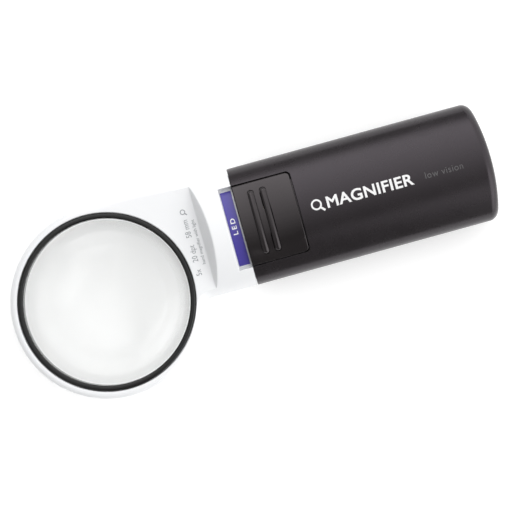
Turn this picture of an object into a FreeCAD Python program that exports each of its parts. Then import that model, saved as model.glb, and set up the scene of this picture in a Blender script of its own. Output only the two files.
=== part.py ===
"""Low vision hand magnifier with a light: an oval grip, a slide switch and a plug-in lens head.

Frame: +X runs along the grip to its closed end, +Z points to the switch side and the origin
is under the middle of the magnifier, on the flat of the grip's underside. All sizes are in mm.
"""
import FreeCAD, Part
import math
import os
import re
import Sketcher

SIZES = {
    # How far a cut starts or ends outside the part.
    "overcut": 1.0,
    # Grip: a four-centre oval, wider than it is high, with a flat underside.
    "grip_y": 12.8,
    "mid_height": 12.3,
    "grip_half_width": 21.1,
    "grip_half_height": 13.5,
    "side_radius": 9.0,
    "grip_front": -1.6,
    "grip_rear": 88.0,
    "grip_wall": 2.0,
    "end_wall": 2.6,
    "end_bow_radius": 128.0,
    "end_rounding": 3.0,
    # Head: lens ring, neck plate and collar.
    "lens_x": -54.1,
    "head_radius": 33.9,
    "plate_half": 6.5,
    "head_wall": 1.8,
    "side_wall": 2.5,
    "cavity_ring": 33.2,
    "neck_blend": 4.3,
    "collar_rear": -1.75,
    "bulkhead": 2.0,
    "step_foot": -15.9,
    "step_crest": -12.8,
    "collar_cavity": 8.0,
    "top_collar_wall": 4.2,
    "cavity_front": -25.0,
    # Spigot of the head, which plugs into the grip.
    "spigot_rear": 19.0,
    "spigot_rise": 3.0,
    "spigot_gap": 0.2,
    # Lens, its seat and its retaining ring.
    "clear_radius": 29.0,
    "lens_radius": 31.0,
    "bore_radius": 31.3,
    "seat_radius": 29.3,
    "lens_rim_half": 1.0,
    "lens_sag": 7.6,
    "ring_outer": 31.15,
    "ring_inner": 29.2,
    "ring_proud": 0.45,
    "ring_rounding": 0.6,
    "seat_gap": 0.05,
    # Switch: notch in the sleeve, slider, guide plate and contacts.
    "notch_rear": 19.2,
    "notch_half": 14.55,
    "notch_corner": 1.8,
    "slide_gap": 0.35,
    "slider_drop": 0.15,
    "slider_skin": 1.8,
    "rib_front": 3.9,
    "rib_rear": 8.6,
    "rib_half_length": 11.35,
    "rib_half_width": 1.3,
    "rib_rise": 0.6,
    "rib_end": 1.2,
    "rib_root": 1.0,
    "leg_front": 3.0,
    "leg_inner": 12.9,
    "flange_half": 15.4,
    "flange_low": 4.9,
    "flange_high": 5.8,
    "leg_high": 8.3,
    "slider_tail": 24.0,
    "tail_front": 15.0,
    "tail_half": 12.0,
    "tail_gap": 0.3,
    "tail_skin": 1.0,
    "guide_low": 3.4,
    "guide_high": 4.6,
    "guide_front": -1.2,
    "guide_rear": 27.5,
    "guide_half": 17.2,
    "bridge_y": 5.5,
    "bridge_half": 1.5,
    "bridge_front": 8.7,
    "bridge_rear": 17.3,
    "bridge_low": 4.95,
    "bridge_high": 6.5,
    "boss_front": 10.5,
    "boss_rear": 15.5,
    "boss_half": 2.0,
    "boss_top": 11.6,
    "blade": 0.3,
    "strip": 0.2,
    "strip_reach": 0.3,
    "touch_gap": 0.15,
    "front_strip_start": 4.0,
    "front_strip_end": 12.4,
    "front_strip_tab": 9.0,
    "rear_strip_start": 14.5,
    "rear_strip_end": 24.0,
    # Label in the collar's recess.
    "recess_depth": 2.5,
    "recess_length": 4.65,
    "label_front": -6.1,
    "label_length": 3.9,
    "label_half": 13.2,
    "label_skin": 0.25,
    # Light in the neck.
    "led_x": -18.7,
    "led_y": 14.8,
    "board_rear": -9.0,
    "board_front": -21.0,
    "board_half": 5.2,
    "board_extra": 1.0,
    "board_low": 2.6,
    "board_high": 3.8,
    "led_radius": 2.5,
    "led_drop": 3.2,
    "led_flange": 0.4,
    "led_flange_height": 1.0,
    "resistor_gap": 1.4,
    "resistor_length": 3.2,
    "resistor_half": 0.8,
    "resistor_height": 0.6,
    "window_half_x": 2.6,
    "window_half_y": 4.0,
    "window_lip": 0.6,
    "window_rim": 0.8,
    "fit_gap": 0.1,
    # Screws through the bottom shell into the top shell.
    "screw_x": -18.4,
    "screw_reach": 14.2,
    "screw_shank": 1.0,
    "screw_head": 1.9,
    "screw_head_height": 1.1,
    "screw_tip": 3.6,
    "screw_slot_half": 0.25,
    "sink_depth": 1.3,
    "post_radius": 2.25,
    # Battery side.
    "cell_radius": 5.25,
    "cell_can": 43.3,
    "cell_nub": 1.2,
    "nub_overlap": 0.5,
    "nub_gap": 0.55,
    "nub_radius": 1.9,
    "cell_pitch": 10.9,
    "cradle_gap": 0.2,
    "carrier_front": 30.0,
    "carrier_rear": 84.6,
    "carrier_wall": 2.0,
    "carrier_floor": -7.6,
    "carrier_inset": 2.3,
    "plate_half_size": 4.0,
    "spring_radius": 3.6,
    "spring_wire": 0.3,
    "spring_pitch": 0.95,
    "spring_length": 4.3,
    "cell_front_sprung": 37.6,
    "negative_inner": 3.6,
    "negative_outer": 7.0,
    "link_start": 2.2,
    "link_gap": 2.0,
    "cell_contact_outer": 13.4,
    "plate_slot": 0.45,
    "plate_skin": 0.35,
    "plate_gap": 0.05,
    "head_contact_foot": 6.0,
    "positive_riser": 14.4,
    "positive_tab": 10.0,
    "negative_riser": 16.4,
    "negative_reach": 24.0,
    "negative_level": -1.0,
    "negative_tab": 20.0,
    "side_strip_gap": 0.5,
    "side_strip_width": 1.6,
    "side_link_overlap": 0.5,
    "side_link_high": 2.0,
    # Wires: places along the route from the board down to the spigot's floor.
    "wire_radius": 0.55,
    "positive_spread": 3.2,
    "negative_spread": 4.4,
    "wire_start": 3.0,
    "wire_bend": 1.2,
    "wire_bend_high": 0.6,
    "wire_pass": 0.4,
    "wire_pass_low": 2.6,
    "wire_entry": 2.5,
    "wire_entry_low": 4.2,
    "wire_landing": 0.5,
    "wire_end": 4.5,
}

# How close two places are to count as the same, and the share of a run that a wire's bend takes.
SAME = 0.01
BEND_SHARE = 0.45

doc = FreeCAD.newDocument("magnifier")
sheet = doc.addObject("Spreadsheet::Sheet", "sheet")
for row, (alias, size) in enumerate(SIZES.items(), start=1):
    sheet.set(f"A{row}", alias)
    sheet.set(f"B{row}", str(size))
    sheet.setAlias(f"B{row}", alias)
doc.recompute()

parts = []

# The oval's parts: radius and centre drop of the crown arcs, centre reach of the side arcs.
CROWN = (
    "((grip_half_width^2 + grip_half_height^2 - 2 * grip_half_width * side_radius)"
    " / (2 * (grip_half_height - side_radius)))"
)
DROP = f"({CROWN} - grip_half_height)"
REACH = "(grip_half_width - side_radius)"
SPAN = f"({CROWN} - side_radius)"


def bound(text):
    """The expression with every size name pointed at the sheet."""
    return re.sub(
        r"\b[a-z][a-z_]*\b",
        lambda word: f"sheet.{word[0]}" if word[0] in SIZES else word[0],
        text,
    )


def value(text):
    """The number that an expression comes to."""
    return float(sheet.evalExpression(bound(text)))


def across(text):
    """A place beside the grip's axis, along Y."""
    return f"grip_y + {text}"


def above(text):
    """A place above the grip's middle plane, along Z."""
    return f"mid_height + {text}"


def new_body(name):
    """A body that becomes one sub-part."""
    body = doc.addObject("PartDesign::Body", name)
    body.Label = name
    parts.append(body)
    return body


def outline(body, name, plane, corners, arcs=None, level="0", shift="0"):
    """A closed, fully constrained sketch through the corners.

    arcs maps an edge number to (radius, turn); turn is 1 for an arc that runs
    counter-clockwise from its corner to the next one, and -1 for clockwise.
    """
    sketch = body.newObject("Sketcher::SketchObject", name)
    origin = next(item for item in body.Origin.OriginFeatures if item.Role == f"{plane}_Plane")
    sketch.AttachmentSupport = [(origin, "")]
    sketch.MapMode = "FlatFace"
    sketch.setExpression("AttachmentOffset.Base.z", bound(level))
    sketch.setExpression("AttachmentOffset.Base.x", bound(shift))
    points = [FreeCAD.Vector(value(x), value(y), 0) for x, y in corners]
    up = FreeCAD.Vector(0, 0, 1)
    ends = []
    radii = []
    for number, first in enumerate(points):
        last = points[(number + 1) % len(points)]
        if arcs and number in arcs:
            text, turn = arcs[number]
            radius = value(text)
            chord = last - first
            rise = math.sqrt(radius**2 - (chord.Length / 2) ** 2)
            side = FreeCAD.Vector(-chord.y, chord.x, 0).normalize() * turn
            centre = (first + last) * 0.5 + side * rise
            begin, finish = (first, last) if turn > 0 else (last, first)
            angles = [math.atan2(p.y - centre.y, p.x - centre.x) for p in (begin, finish)]
            edge = Part.ArcOfCircle(Part.Circle(centre, up, radius), *angles)
            ends.append((1, 2) if turn > 0 else (2, 1))
            radii.append((number, text, radius))
        else:
            edge = Part.LineSegment(first, last)
            ends.append((1, 2))
        sketch.addGeometry(edge)
    for number, point in enumerate(points):
        following = (number + 1) % len(points)
        start = ends[number][0]
        join = Sketcher.Constraint("Coincident", number, ends[number][1], following, ends[following][0])
        sketch.addConstraint(join)
        for kind, size, text in zip(("DistanceX", "DistanceY"), point, corners[number]):
            index = sketch.addConstraint(Sketcher.Constraint(kind, -1, 1, number, start, size))
            sketch.setExpression(f"Constraints[{index}]", bound(text))
    for number, text, radius in radii:
        index = sketch.addConstraint(Sketcher.Constraint("Radius", number, radius))
        sketch.setExpression(f"Constraints[{index}]", bound(text))
    return sketch


def circles(body, name, plane, spots, level="0"):
    """A sketch of circles, each given as (x, y, radius)."""
    sketch = outline(body, name, plane, [], level=level)
    for number, (x, y, radius) in enumerate(spots):
        centre = FreeCAD.Vector(value(x), value(y), 0)
        sketch.addGeometry(Part.Circle(centre, FreeCAD.Vector(0, 0, 1), value(radius)))
        limits = (
            Sketcher.Constraint("DistanceX", -1, 1, number, 3, centre.x),
            Sketcher.Constraint("DistanceY", -1, 1, number, 3, centre.y),
            Sketcher.Constraint("Radius", number, value(radius)),
        )
        for limit, text in zip(limits, (x, y, radius)):
            index = sketch.addConstraint(limit)
            sketch.setExpression(f"Constraints[{index}]", bound(text))
    return sketch


def rectangle(x_low, x_high, y_low, y_high):
    """The corners of a rectangle, counter-clockwise."""
    return [(x_low, y_low), (x_high, y_low), (x_high, y_high), (x_low, y_high)]


def extrude(kind, sketch, length, backward=False):
    """A Pad or a Pocket of a sketch, added to the sketch's body."""
    body = sketch.getParentGeoFeatureGroup()
    feature = body.newObject(f"PartDesign::{kind}", f"{sketch.Name}_{kind.lower()}")
    feature.Profile = sketch
    feature.setExpression("Length", bound(length))
    feature.Reversed = backward
    return feature


def revolve(sketch):
    """A full turn of a sketch about its own vertical axis."""
    body = sketch.getParentGeoFeatureGroup()
    feature = body.newObject("PartDesign::Revolution", f"{sketch.Name}_turned")
    feature.Profile = sketch
    feature.ReferenceAxis = (sketch, ["V_Axis"])
    feature.Angle = 360
    return feature


def round_edges(body, radius, chosen):
    """A fillet on the edges of the body so far that chosen(edge) picks."""
    doc.recompute()
    tip = body.Tip
    names = [f"Edge{n}" for n, edge in enumerate(tip.Shape.Edges, start=1) if chosen(edge)]
    if not names:
        raise ValueError(f"no edge to round on {body.Label}")
    fillet = body.newObject("PartDesign::Fillet", f"{body.Name}_round")
    fillet.Base = (tip, names)
    fillet.setExpression("Radius", bound(radius))
    return fillet


def oval_tangent(inset):
    """Where a side arc meets a crown arc of the oval moved inward by inset."""
    y = f"{REACH} * ({CROWN} - {inset}) / {SPAN}"
    z = f"(side_radius - {inset}) * {DROP} / {SPAN}"
    return y, z


def half_oval(inset, side):
    """The upper (side 1) or lower (side -1) half of the oval, moved inward by inset."""
    y, z = oval_tangent(inset)
    edge = f"(grip_half_width - {inset})"
    crown = f"({CROWN} - {inset})"
    rounding = f"side_radius - {inset}"
    if side > 0:
        corners = [(edge, "0"), (y, z), (f"-{y}", z), (f"-{edge}", "0")]
        arcs = {0: (rounding, 1), 1: (crown, 1), 2: (rounding, 1)}
    else:
        corners = [(f"-{edge}", "0"), *lower_corners(inset), (edge, "0")]
        arcs = {0: (rounding, 1), 1: (crown, 1), 3: (crown, 1), 4: (rounding, 1)}
    return [(across(a), above(b)) for a, b in corners], arcs


def lower_corners(inset):
    """The corners of the oval's underside, from the -Y tangent point to the +Y one."""
    y, z = oval_tangent(inset)
    flat = f"(mid_height - {inset})"
    flat_half = f"sqrt(({CROWN} - {inset})^2 - ({DROP} + {flat})^2)"
    return [(f"-{y}", f"-{z}"), (f"-{flat_half}", f"-{flat}"), (flat_half, f"-{flat}"), (y, f"-{z}")]


def cut_oval(inset, rise):
    """The oval moved inward by inset and cut off level at a height above its middle."""
    edge = f"({REACH} + sqrt((side_radius - {inset})^2 - ({rise})^2))"
    corners = [(f"-{edge}", rise), *lower_corners(inset), (edge, rise)]
    crown = f"({CROWN} - {inset})"
    rounding = f"side_radius - {inset}"
    arcs = {0: (rounding, 1), 1: (crown, 1), 3: (crown, 1), 4: (rounding, 1)}
    return [(across(a), above(b)) for a, b in corners], arcs


def full_oval(inset):
    """The whole oval with its flat underside, moved inward by inset."""
    y, z = oval_tangent(inset)
    corners = [*lower_corners(inset), (y, z), (f"-{y}", z)]
    crown = f"({CROWN} - {inset})"
    rounding = f"side_radius - {inset}"
    arcs = {0: (crown, 1), 2: (crown, 1), 3: (rounding, 1), 4: (crown, 1), 5: (rounding, 1)}
    return [(across(a), above(b)) for a, b in corners], arcs


def crown_band(inner, outer, half):
    """A strip that follows the crown of the oval between two radii."""
    corners = []
    for y, radius in ((f"-{half}", inner), (half, inner), (half, outer), (f"-{half}", outer)):
        corners.append((across(y), above(f"sqrt(({radius})^2 - {half}^2) - {DROP}")))
    return corners, {0: (inner, -1), 2: (outer, 1)}


def box(name, x_range, y_range, z_range):
    """A box between pairs of expressions."""
    solid = doc.addObject("Part::Box", name)
    solid.Label = name
    for size, place, (low, high) in zip(
        ("Length", "Width", "Height"), "xyz", (x_range, y_range, z_range)
    ):
        solid.setExpression(size, bound(f"({high}) - ({low})"))
        solid.setExpression(f"Placement.Base.{place}", bound(low))
    return solid


def cylinder(name, radius, length, place, direction):
    """A cylinder from a place (three expressions) along a direction."""
    solid = doc.addObject("Part::Cylinder", name)
    solid.Label = name
    solid.setExpression("Radius", bound(radius))
    solid.setExpression("Height", bound(length))
    solid.Placement.Rotation = FreeCAD.Rotation(FreeCAD.Vector(0, 0, 1), direction)
    for letter, text in zip("xyz", place):
        solid.setExpression(f"Placement.Base.{letter}", bound(text))
    return solid


def fuse(name, pieces):
    """One sub-part made of overlapping or touching solids."""
    whole = doc.addObject("Part::MultiFuse", name)
    whole.Label = name
    whole.Shapes = pieces
    whole.Refine = True
    parts.append(whole)
    return whole


def bent_strip(name, corners, y_low, y_high):
    """A strip with a bent profile in the XZ plane, between two places along Y."""
    body = new_body(name)
    places = [(x, above(z)) for x, z in corners]
    sketch = outline(body, f"{name}_profile", "XZ", places, level=f"-({y_high})")
    extrude("Pad", sketch, f"({y_high}) - ({y_low})")
    return body


def make_sleeve():
    """The grip's one-piece sleeve: bowed closed end, open front and switch notch."""
    body = new_body("grip_sleeve")
    corners, arcs = full_oval("0")
    outer = outline(body, "sleeve_outer", "YZ", corners, arcs, level="grip_front")
    extrude("Pad", outer, "grip_rear - grip_front")

    half = "(grip_half_width + overcut)"
    edge = f"grip_rear - end_bow_radius + sqrt(end_bow_radius^2 - {half}^2)"
    corners = rectangle(edge, "grip_rear + overcut", across(f"-{half}"), across(half))
    corners = [corners[0], corners[3], corners[2], corners[1]]
    bow = outline(body, "sleeve_bow", "XY", corners, {0: ("end_bow_radius", 1)})
    extrude("Pocket", bow, "mid_height + grip_half_height + overcut", backward=True)
    end = value(f"{edge} - overcut")
    round_edges(body, "end_rounding", lambda item: item.BoundBox.XMin > end)

    corners, arcs = full_oval("grip_wall")
    inner = outline(body, "sleeve_inner", "YZ", corners, arcs, level="grip_front")
    extrude("Pocket", inner, "grip_rear - end_wall - grip_front", backward=True)

    low, high = across("-notch_half"), across("notch_half")
    corners = [
        ("grip_front - overcut", low),
        ("notch_rear - notch_corner", low),
        ("notch_rear", f"{low} + notch_corner"),
        ("notch_rear", f"{high} - notch_corner"),
        ("notch_rear - notch_corner", high),
        ("grip_front - overcut", high),
    ]
    arcs = {1: ("notch_corner", 1), 3: ("notch_corner", 1)}
    notch = outline(body, "sleeve_notch", "XY", corners, arcs, level="mid_height")
    extrude("Pocket", notch, "grip_half_height + overcut", backward=True)
    return body


def make_slider():
    """The switch slider: curved cap with two grip ribs, legs, flanges, tail and contact boss."""
    body = new_body("switch_slider")
    rear = "notch_rear - slide_gap"
    half = "(notch_half - slide_gap)"
    outer = f"({CROWN} - slider_drop)"
    inner = f"({CROWN} - slider_drop - slider_skin)"

    corners, arcs = crown_band(inner, outer, half)
    cap = outline(body, "slider_cap", "YZ", corners, arcs, level="grip_front")
    extrude("Pad", cap, f"{rear} - grip_front")
    x_rear = value(rear)
    y_sides = [value(across(half)), value(across(f"-{half}"))]

    def at_rear_corner(edge):
        middle = edge.CenterOfMass
        return middle.x > x_rear - SAME and min(abs(middle.y - y) for y in y_sides) < SAME

    round_edges(body, "notch_corner - slide_gap", at_rear_corner)

    for number, place in enumerate(("rib_front", "rib_rear")):
        corners, arcs = crown_band(f"({CROWN} - rib_root)", f"({CROWN} + rib_rise)", "rib_half_length")
        level = f"{place} - rib_half_width"
        rib = outline(body, f"slider_rib_{number}", "YZ", corners, arcs, level=level)
        extrude("Pad", rib, "2 * rib_half_width")
    rib_sides = [value(across("rib_half_length")), value(across("-rib_half_length"))]
    rib_low = value(above("0"))

    def at_rib_end(edge):
        middle = edge.CenterOfMass
        upright = edge.BoundBox.XLength < SAME and edge.BoundBox.YLength < SAME
        return upright and min(abs(middle.y - y) for y in rib_sides) < SAME and middle.z > rib_low

    round_edges(body, "rib_end", at_rib_end)

    for number, sign in enumerate(("", "-")):
        sides = sorted((across(f"{sign}leg_inner"), across(f"{sign}flange_half")), key=value)
        flange = rectangle(*sides, above("flange_low"), above("flange_high"))
        sketch = outline(body, f"slider_flange_{number}", "YZ", flange, level="leg_front")
        extrude("Pad", sketch, "slider_tail - leg_front")
        sides = sorted((across(f"{sign}leg_inner"), across(f"{sign}{half}")), key=value)
        web = rectangle(*sides, above("flange_low"), above("leg_high"))
        sketch = outline(body, f"slider_web_{number}", "YZ", web, level="leg_front")
        extrude("Pad", sketch, f"{rear} - leg_front - notch_corner")

    low = f"({CROWN} - grip_wall - tail_gap - tail_skin)"
    high = f"({CROWN} - grip_wall - tail_gap)"
    corners, arcs = crown_band(low, high, "tail_half")
    tail = outline(body, "slider_tail_plate", "YZ", corners, arcs, level="tail_front")
    extrude("Pad", tail, "slider_tail - tail_front")
    corners, arcs = crown_band(low, f"({inner} + slider_skin / 2)", "tail_half")
    root = outline(body, "slider_tail_root", "YZ", corners, arcs, level="tail_front")
    extrude("Pad", root, f"{rear} - notch_corner - tail_front")

    sides = (across("bridge_y - boss_half"), across("bridge_y + boss_half"))
    corners = rectangle("boss_front", "boss_rear", *sides)
    boss = outline(body, "slider_boss", "XY", corners, level=above("bridge_high"))
    extrude("Pad", boss, "boss_top - bridge_high")
    return body


def make_head_shell(name, side):
    """One half of the head: side 1 is the top shell, side -1 the bottom shell."""
    body = new_body(name)
    sign = "" if side > 0 else "-"
    plate = above(f"{sign}plate_half")
    shoulder = "head_radius - side_radius + sqrt(side_radius^2 - plate_half^2)"
    corners = [("0", "mid_height"), ("head_radius", "mid_height"), (shoulder, plate), ("0", plate)]
    disc = outline(body, f"{name}_disc", "XZ", corners, {1: ("side_radius", side)}, shift="lens_x")
    revolve(disc)

    corners, arcs = half_oval("0", side)
    neck = outline(body, f"{name}_neck", "YZ", corners, arcs, level="lens_x")
    extrude("Pad", neck, "collar_rear - lens_x")

    crest = above(f"{sign}grip_half_height")
    beyond = above(f"{sign}(grip_half_height + overcut)")
    corners = [
        ("lens_x - overcut", plate),
        ("step_foot", plate),
        ("step_crest", crest),
        ("step_crest", beyond),
        ("lens_x - overcut", beyond),
    ]
    level = "-(grip_y + grip_half_width + overcut)"
    step = outline(body, f"{name}_step", "XZ", corners, level=level)
    extrude("Pocket", step, "2 * (grip_half_width + overcut)", backward=True)

    joint_y = value("grip_y - grip_half_width")
    joint_x = value("lens_x + sqrt(head_radius^2 - (grip_y - grip_half_width)^2)")
    near = value("neck_blend")

    def in_neck_corner(edge):
        middle = edge.CenterOfMass
        upright = edge.BoundBox.ZLength > value("plate_half") - SAME
        return upright and abs(middle.x - joint_x) < near and abs(middle.y - joint_y) < near

    round_edges(body, "neck_blend", in_neck_corner)

    half = "(grip_half_width - side_wall)"
    ring = "cavity_ring"
    low, high = across(f"-{half}"), across(half)
    wall_x = f"lens_x + sqrt({ring}^2 - ({low})^2)"
    wall_y = f"sqrt({ring}^2 - (cavity_front - lens_x)^2)"
    bulkhead = "(collar_rear - bulkhead)"
    corners = [
        (wall_x, low),
        (bulkhead, low),
        (bulkhead, high),
        ("cavity_front", high),
        ("cavity_front", wall_y),
    ]
    cavity = outline(body, f"{name}_cavity", "XY", corners, {4: (ring, -1)}, level="mid_height")
    extrude("Pocket", cavity, "plate_half - head_wall", backward=side > 0)

    collar_wall = "top_collar_wall" if side > 0 else "grip_wall"
    corners, arcs = half_oval(collar_wall, side)
    collar = outline(body, f"{name}_collar", "YZ", corners, arcs, level=bulkhead)
    extrude("Pocket", collar, "collar_cavity")

    spots = [("screw_x", across(text), "post_radius") for text in ("-screw_reach", "screw_reach")]
    posts = circles(body, f"{name}_posts", "XY", spots, level="mid_height")
    extrude("Pad", posts, "plate_half - head_wall / 2", backward=side < 0)
    return body


def make_top_shell():
    """The upper half of the head: lens bore, label recess and pilot holes."""
    body = make_head_shell("head_top_shell", 1)
    bore = circles(body, "top_bore", "XY", [("lens_x", "0", "bore_radius")], level="mid_height")
    extrude("Pocket", bore, "plate_half + overcut", backward=True)

    corners, arcs = crown_band(f"({CROWN} - recess_depth)", f"({CROWN} + overcut)", "notch_half")
    recess = outline(body, "label_recess", "YZ", corners, arcs, level="collar_rear")
    extrude("Pocket", recess, "recess_length")

    radius = "screw_shank + fit_gap / 2"
    spots = [("screw_x", across(text), radius) for text in ("-screw_reach", "screw_reach")]
    pilots = circles(body, "top_pilots", "XY", spots, level="mid_height")
    extrude("Pocket", pilots, "screw_tip + fit_gap", backward=True)
    return body


def make_bottom_shell():
    """The lower half of the head: lens seat, spigot, light window opening and screw holes."""
    body = make_head_shell("head_bottom_shell", -1)
    bore = circles(body, "bottom_bore", "XY", [("lens_x", "0", "seat_radius")], level="mid_height")
    extrude("Pocket", bore, "plate_half + overcut")
    seat = circles(body, "bottom_seat", "XY", [("lens_x", "0", "bore_radius")], level="mid_height")
    extrude("Pocket", seat, "lens_rim_half + seat_gap")

    corners, arcs = half_oval("top_collar_wall", -1)
    passage = outline(body, "bottom_passage", "YZ", corners, arcs, level="collar_rear")
    extrude("Pocket", passage, "bulkhead")
    corners, arcs = cut_oval("(grip_wall + spigot_gap)", "spigot_rise")
    spigot = outline(body, "spigot_outer", "YZ", corners, arcs, level="collar_rear")
    extrude("Pad", spigot, "spigot_rear - collar_rear")
    corners, arcs = cut_oval("top_collar_wall", "(spigot_rise + overcut)")
    tray = outline(body, "spigot_inner", "YZ", corners, arcs, level="spigot_rear")
    extrude("Pocket", tray, "spigot_rear - collar_rear")

    corners = rectangle(
        "led_x - window_half_x - fit_gap",
        "led_x + window_half_x + fit_gap",
        "led_y - window_half_y - fit_gap",
        "led_y + window_half_y + fit_gap",
    )
    opening = outline(body, "window_opening", "XY", corners, level="mid_height")
    extrude("Pocket", opening, "plate_half + overcut")

    level = above("-plate_half")
    for name, radius, depth in (
        ("screw_holes", "screw_shank + fit_gap", "plate_half"),
        ("screw_sinks", "screw_head + fit_gap", "sink_depth"),
    ):
        spots = [("screw_x", across(text), radius) for text in ("-screw_reach", "screw_reach")]
        holes = circles(body, name, "XY", spots, level=level)
        extrude("Pocket", holes, depth, backward=True)
    return body


def make_lens():
    """The biconvex lens with a flat rim all round."""
    body = new_body("lens")
    bow = "(clear_radius^2 + lens_sag^2) / (2 * lens_sag)"
    corners = [
        ("0", above("-(lens_rim_half + lens_sag)")),
        ("clear_radius", above("-lens_rim_half")),
        ("lens_radius", above("-lens_rim_half")),
        ("lens_radius", above("lens_rim_half")),
        ("clear_radius", above("lens_rim_half")),
        ("0", above("(lens_rim_half + lens_sag)")),
    ]
    profile = outline(body, "lens_profile", "XZ", corners, {0: (bow, 1), 4: (bow, 1)}, shift="lens_x")
    revolve(profile)
    return body


def make_retaining_ring():
    """The ring that holds the lens down in its seat."""
    body = new_body("lens_retaining_ring")
    top = above("plate_half + ring_proud")
    corners = rectangle("ring_inner", "ring_outer", above("lens_rim_half + seat_gap"), top)
    profile = outline(body, "ring_profile", "XZ", corners, shift="lens_x")
    revolve(profile)
    height = value(top)
    round_edges(body, "ring_rounding", lambda edge: edge.BoundBox.ZMin > height - 0.01)
    return body


def make_label():
    """The indicator label that lies in the collar's recess."""
    body = new_body("led_label")
    inner = f"({CROWN} - recess_depth)"
    corners, arcs = crown_band(inner, f"({inner} + label_skin)", "label_half")
    band = outline(body, "label_band", "YZ", corners, arcs, level="label_front")
    extrude("Pad", band, "label_length")
    return body


def make_light():
    """The circuit board, its LED and resistor, and the clear window under them."""
    board = box(
        "led_board",
        ("board_front", "board_rear"),
        ("led_y - board_half - board_extra", "led_y + board_half"),
        (above("board_low"), above("board_high")),
    )
    parts.append(board)
    resistor = box(
        "led_resistor",
        ("board_rear - resistor_gap - resistor_length", "board_rear - resistor_gap"),
        ("led_y - resistor_half", "led_y + resistor_half"),
        (above("board_low - resistor_height"), above("board_low")),
    )
    parts.append(resistor)

    body = new_body("led")
    tip = above("board_low - led_drop - led_radius")
    corners = [
        ("0", tip),
        ("led_radius", above("board_low - led_drop")),
        ("led_radius", above("board_low - led_flange_height")),
        ("led_radius + led_flange", above("board_low - led_flange_height")),
        ("led_radius + led_flange", above("board_low")),
        ("0", above("board_low")),
    ]
    dome = outline(body, "led_profile", "XZ", corners, {0: ("led_radius", 1)}, level="-led_y", shift="led_x")
    revolve(dome)

    body = new_body("light_window")
    reach = ("window_half_x", "window_half_y")
    ranges = [f"led_{axis} {sign} {size}" for axis, size in zip("xy", reach) for sign in "-+"]
    pane = outline(body, "window_pane", "XY", rectangle(*ranges), level=above("-plate_half"))
    extrude("Pad", pane, "head_wall + window_rim")
    ranges = [
        f"led_{axis} {sign} ({size} + window_lip)" for axis, size in zip("xy", reach) for sign in "-+"
    ]
    lip = outline(body, "window_lip", "XY", rectangle(*ranges), level=above("-(plate_half - head_wall)"))
    extrude("Pad", lip, "window_rim")


def make_screws():
    """The two screws that hold the head's shells together."""
    screws = []
    for number, text in enumerate(("-screw_reach", "screw_reach")):
        seat = above("sink_depth - plate_half")
        place = ("screw_x", across(text), seat)
        length = "plate_half - sink_depth + screw_tip"
        up = FreeCAD.Vector(0, 0, 1)
        shank = cylinder(f"screw_shank_{number}", "screw_shank", length, place, up)
        place = ("screw_x", across(text), f"{seat} - screw_head_height")
        head = cylinder(f"screw_head_{number}", "screw_head", "screw_head_height", place, up)
        slot = box(
            f"screw_slot_{number}",
            ("screw_x - screw_head", "screw_x + screw_head"),
            (f"{across(text)} - screw_slot_half", f"{across(text)} + screw_slot_half"),
            (f"{seat} - screw_head_height", f"{seat} - screw_head_height / 2"),
        )
        whole = doc.addObject("Part::Fuse", f"screw_blank_{number}")
        whole.Base, whole.Tool = shank, head
        screw = doc.addObject("Part::Cut", f"screw_{number}")
        screw.Base, screw.Tool = whole, slot
        screws.append(screw)
    group = doc.addObject("Part::Compound", "head_screws")
    group.Label = "head_screws"
    group.Links = screws
    parts.append(group)


def make_switch_contacts():
    """The guide plate under the slider, its two fixed contacts and the slider's bridge."""
    body = new_body("switch_guide")
    corners = rectangle("guide_front", "guide_rear", across("-guide_half"), across("guide_half"))
    plate = outline(body, "guide_plate", "XY", corners, level=above("guide_low"))
    extrude("Pad", plate, "guide_high - guide_low")
    sides = [across(f"bridge_y {sign} (bridge_half + 2 * fit_gap)") for sign in "-+"]
    for name, end in (("guide_slot_front", "front_strip_end"), ("guide_slot_rear", "rear_strip_end")):
        corners = rectangle(f"{end} - strip - fit_gap", f"{end} + fit_gap", *sides)
        slot = outline(body, name, "XY", corners, level=above("guide_high"))
        extrude("Pocket", slot, "guide_high - guide_low + overcut")

    sides = [across(f"bridge_y {sign} bridge_half") for sign in "-+"]
    top, under = "guide_high", "guide_low"
    inner = "front_strip_end - strip"
    bent_strip("switch_contact_front", [
        ("front_strip_start", top), (inner, top), (inner, under), ("front_strip_tab", under),
        ("front_strip_tab", f"{under} - strip"), ("front_strip_end", f"{under} - strip"),
        ("front_strip_end", f"{top} + strip"), ("front_strip_start", f"{top} + strip"),
    ], *sides)
    inner = "rear_strip_end - strip"
    bent_strip("switch_contact_rear", [
        ("rear_strip_start", top), (inner, top), (inner, f"{under} - strip"),
        ("guide_rear + strip_reach", f"{under} - strip"), ("guide_rear + strip_reach", under),
        ("rear_strip_end", under), ("rear_strip_end", f"{top} + strip"),
        ("rear_strip_start", f"{top} + strip"),
    ], *sides)
    bent_strip("slider_bridge_contact", [
        ("bridge_front", "bridge_low"), ("bridge_front + blade", "bridge_low"),
        ("bridge_front + blade", "bridge_high - blade"), ("bridge_rear - blade", "bridge_high - blade"),
        ("bridge_rear - blade", "bridge_low"), ("bridge_rear", "bridge_low"),
        ("bridge_rear", "bridge_high"), ("bridge_front", "bridge_high"),
    ], *sides)


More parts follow.
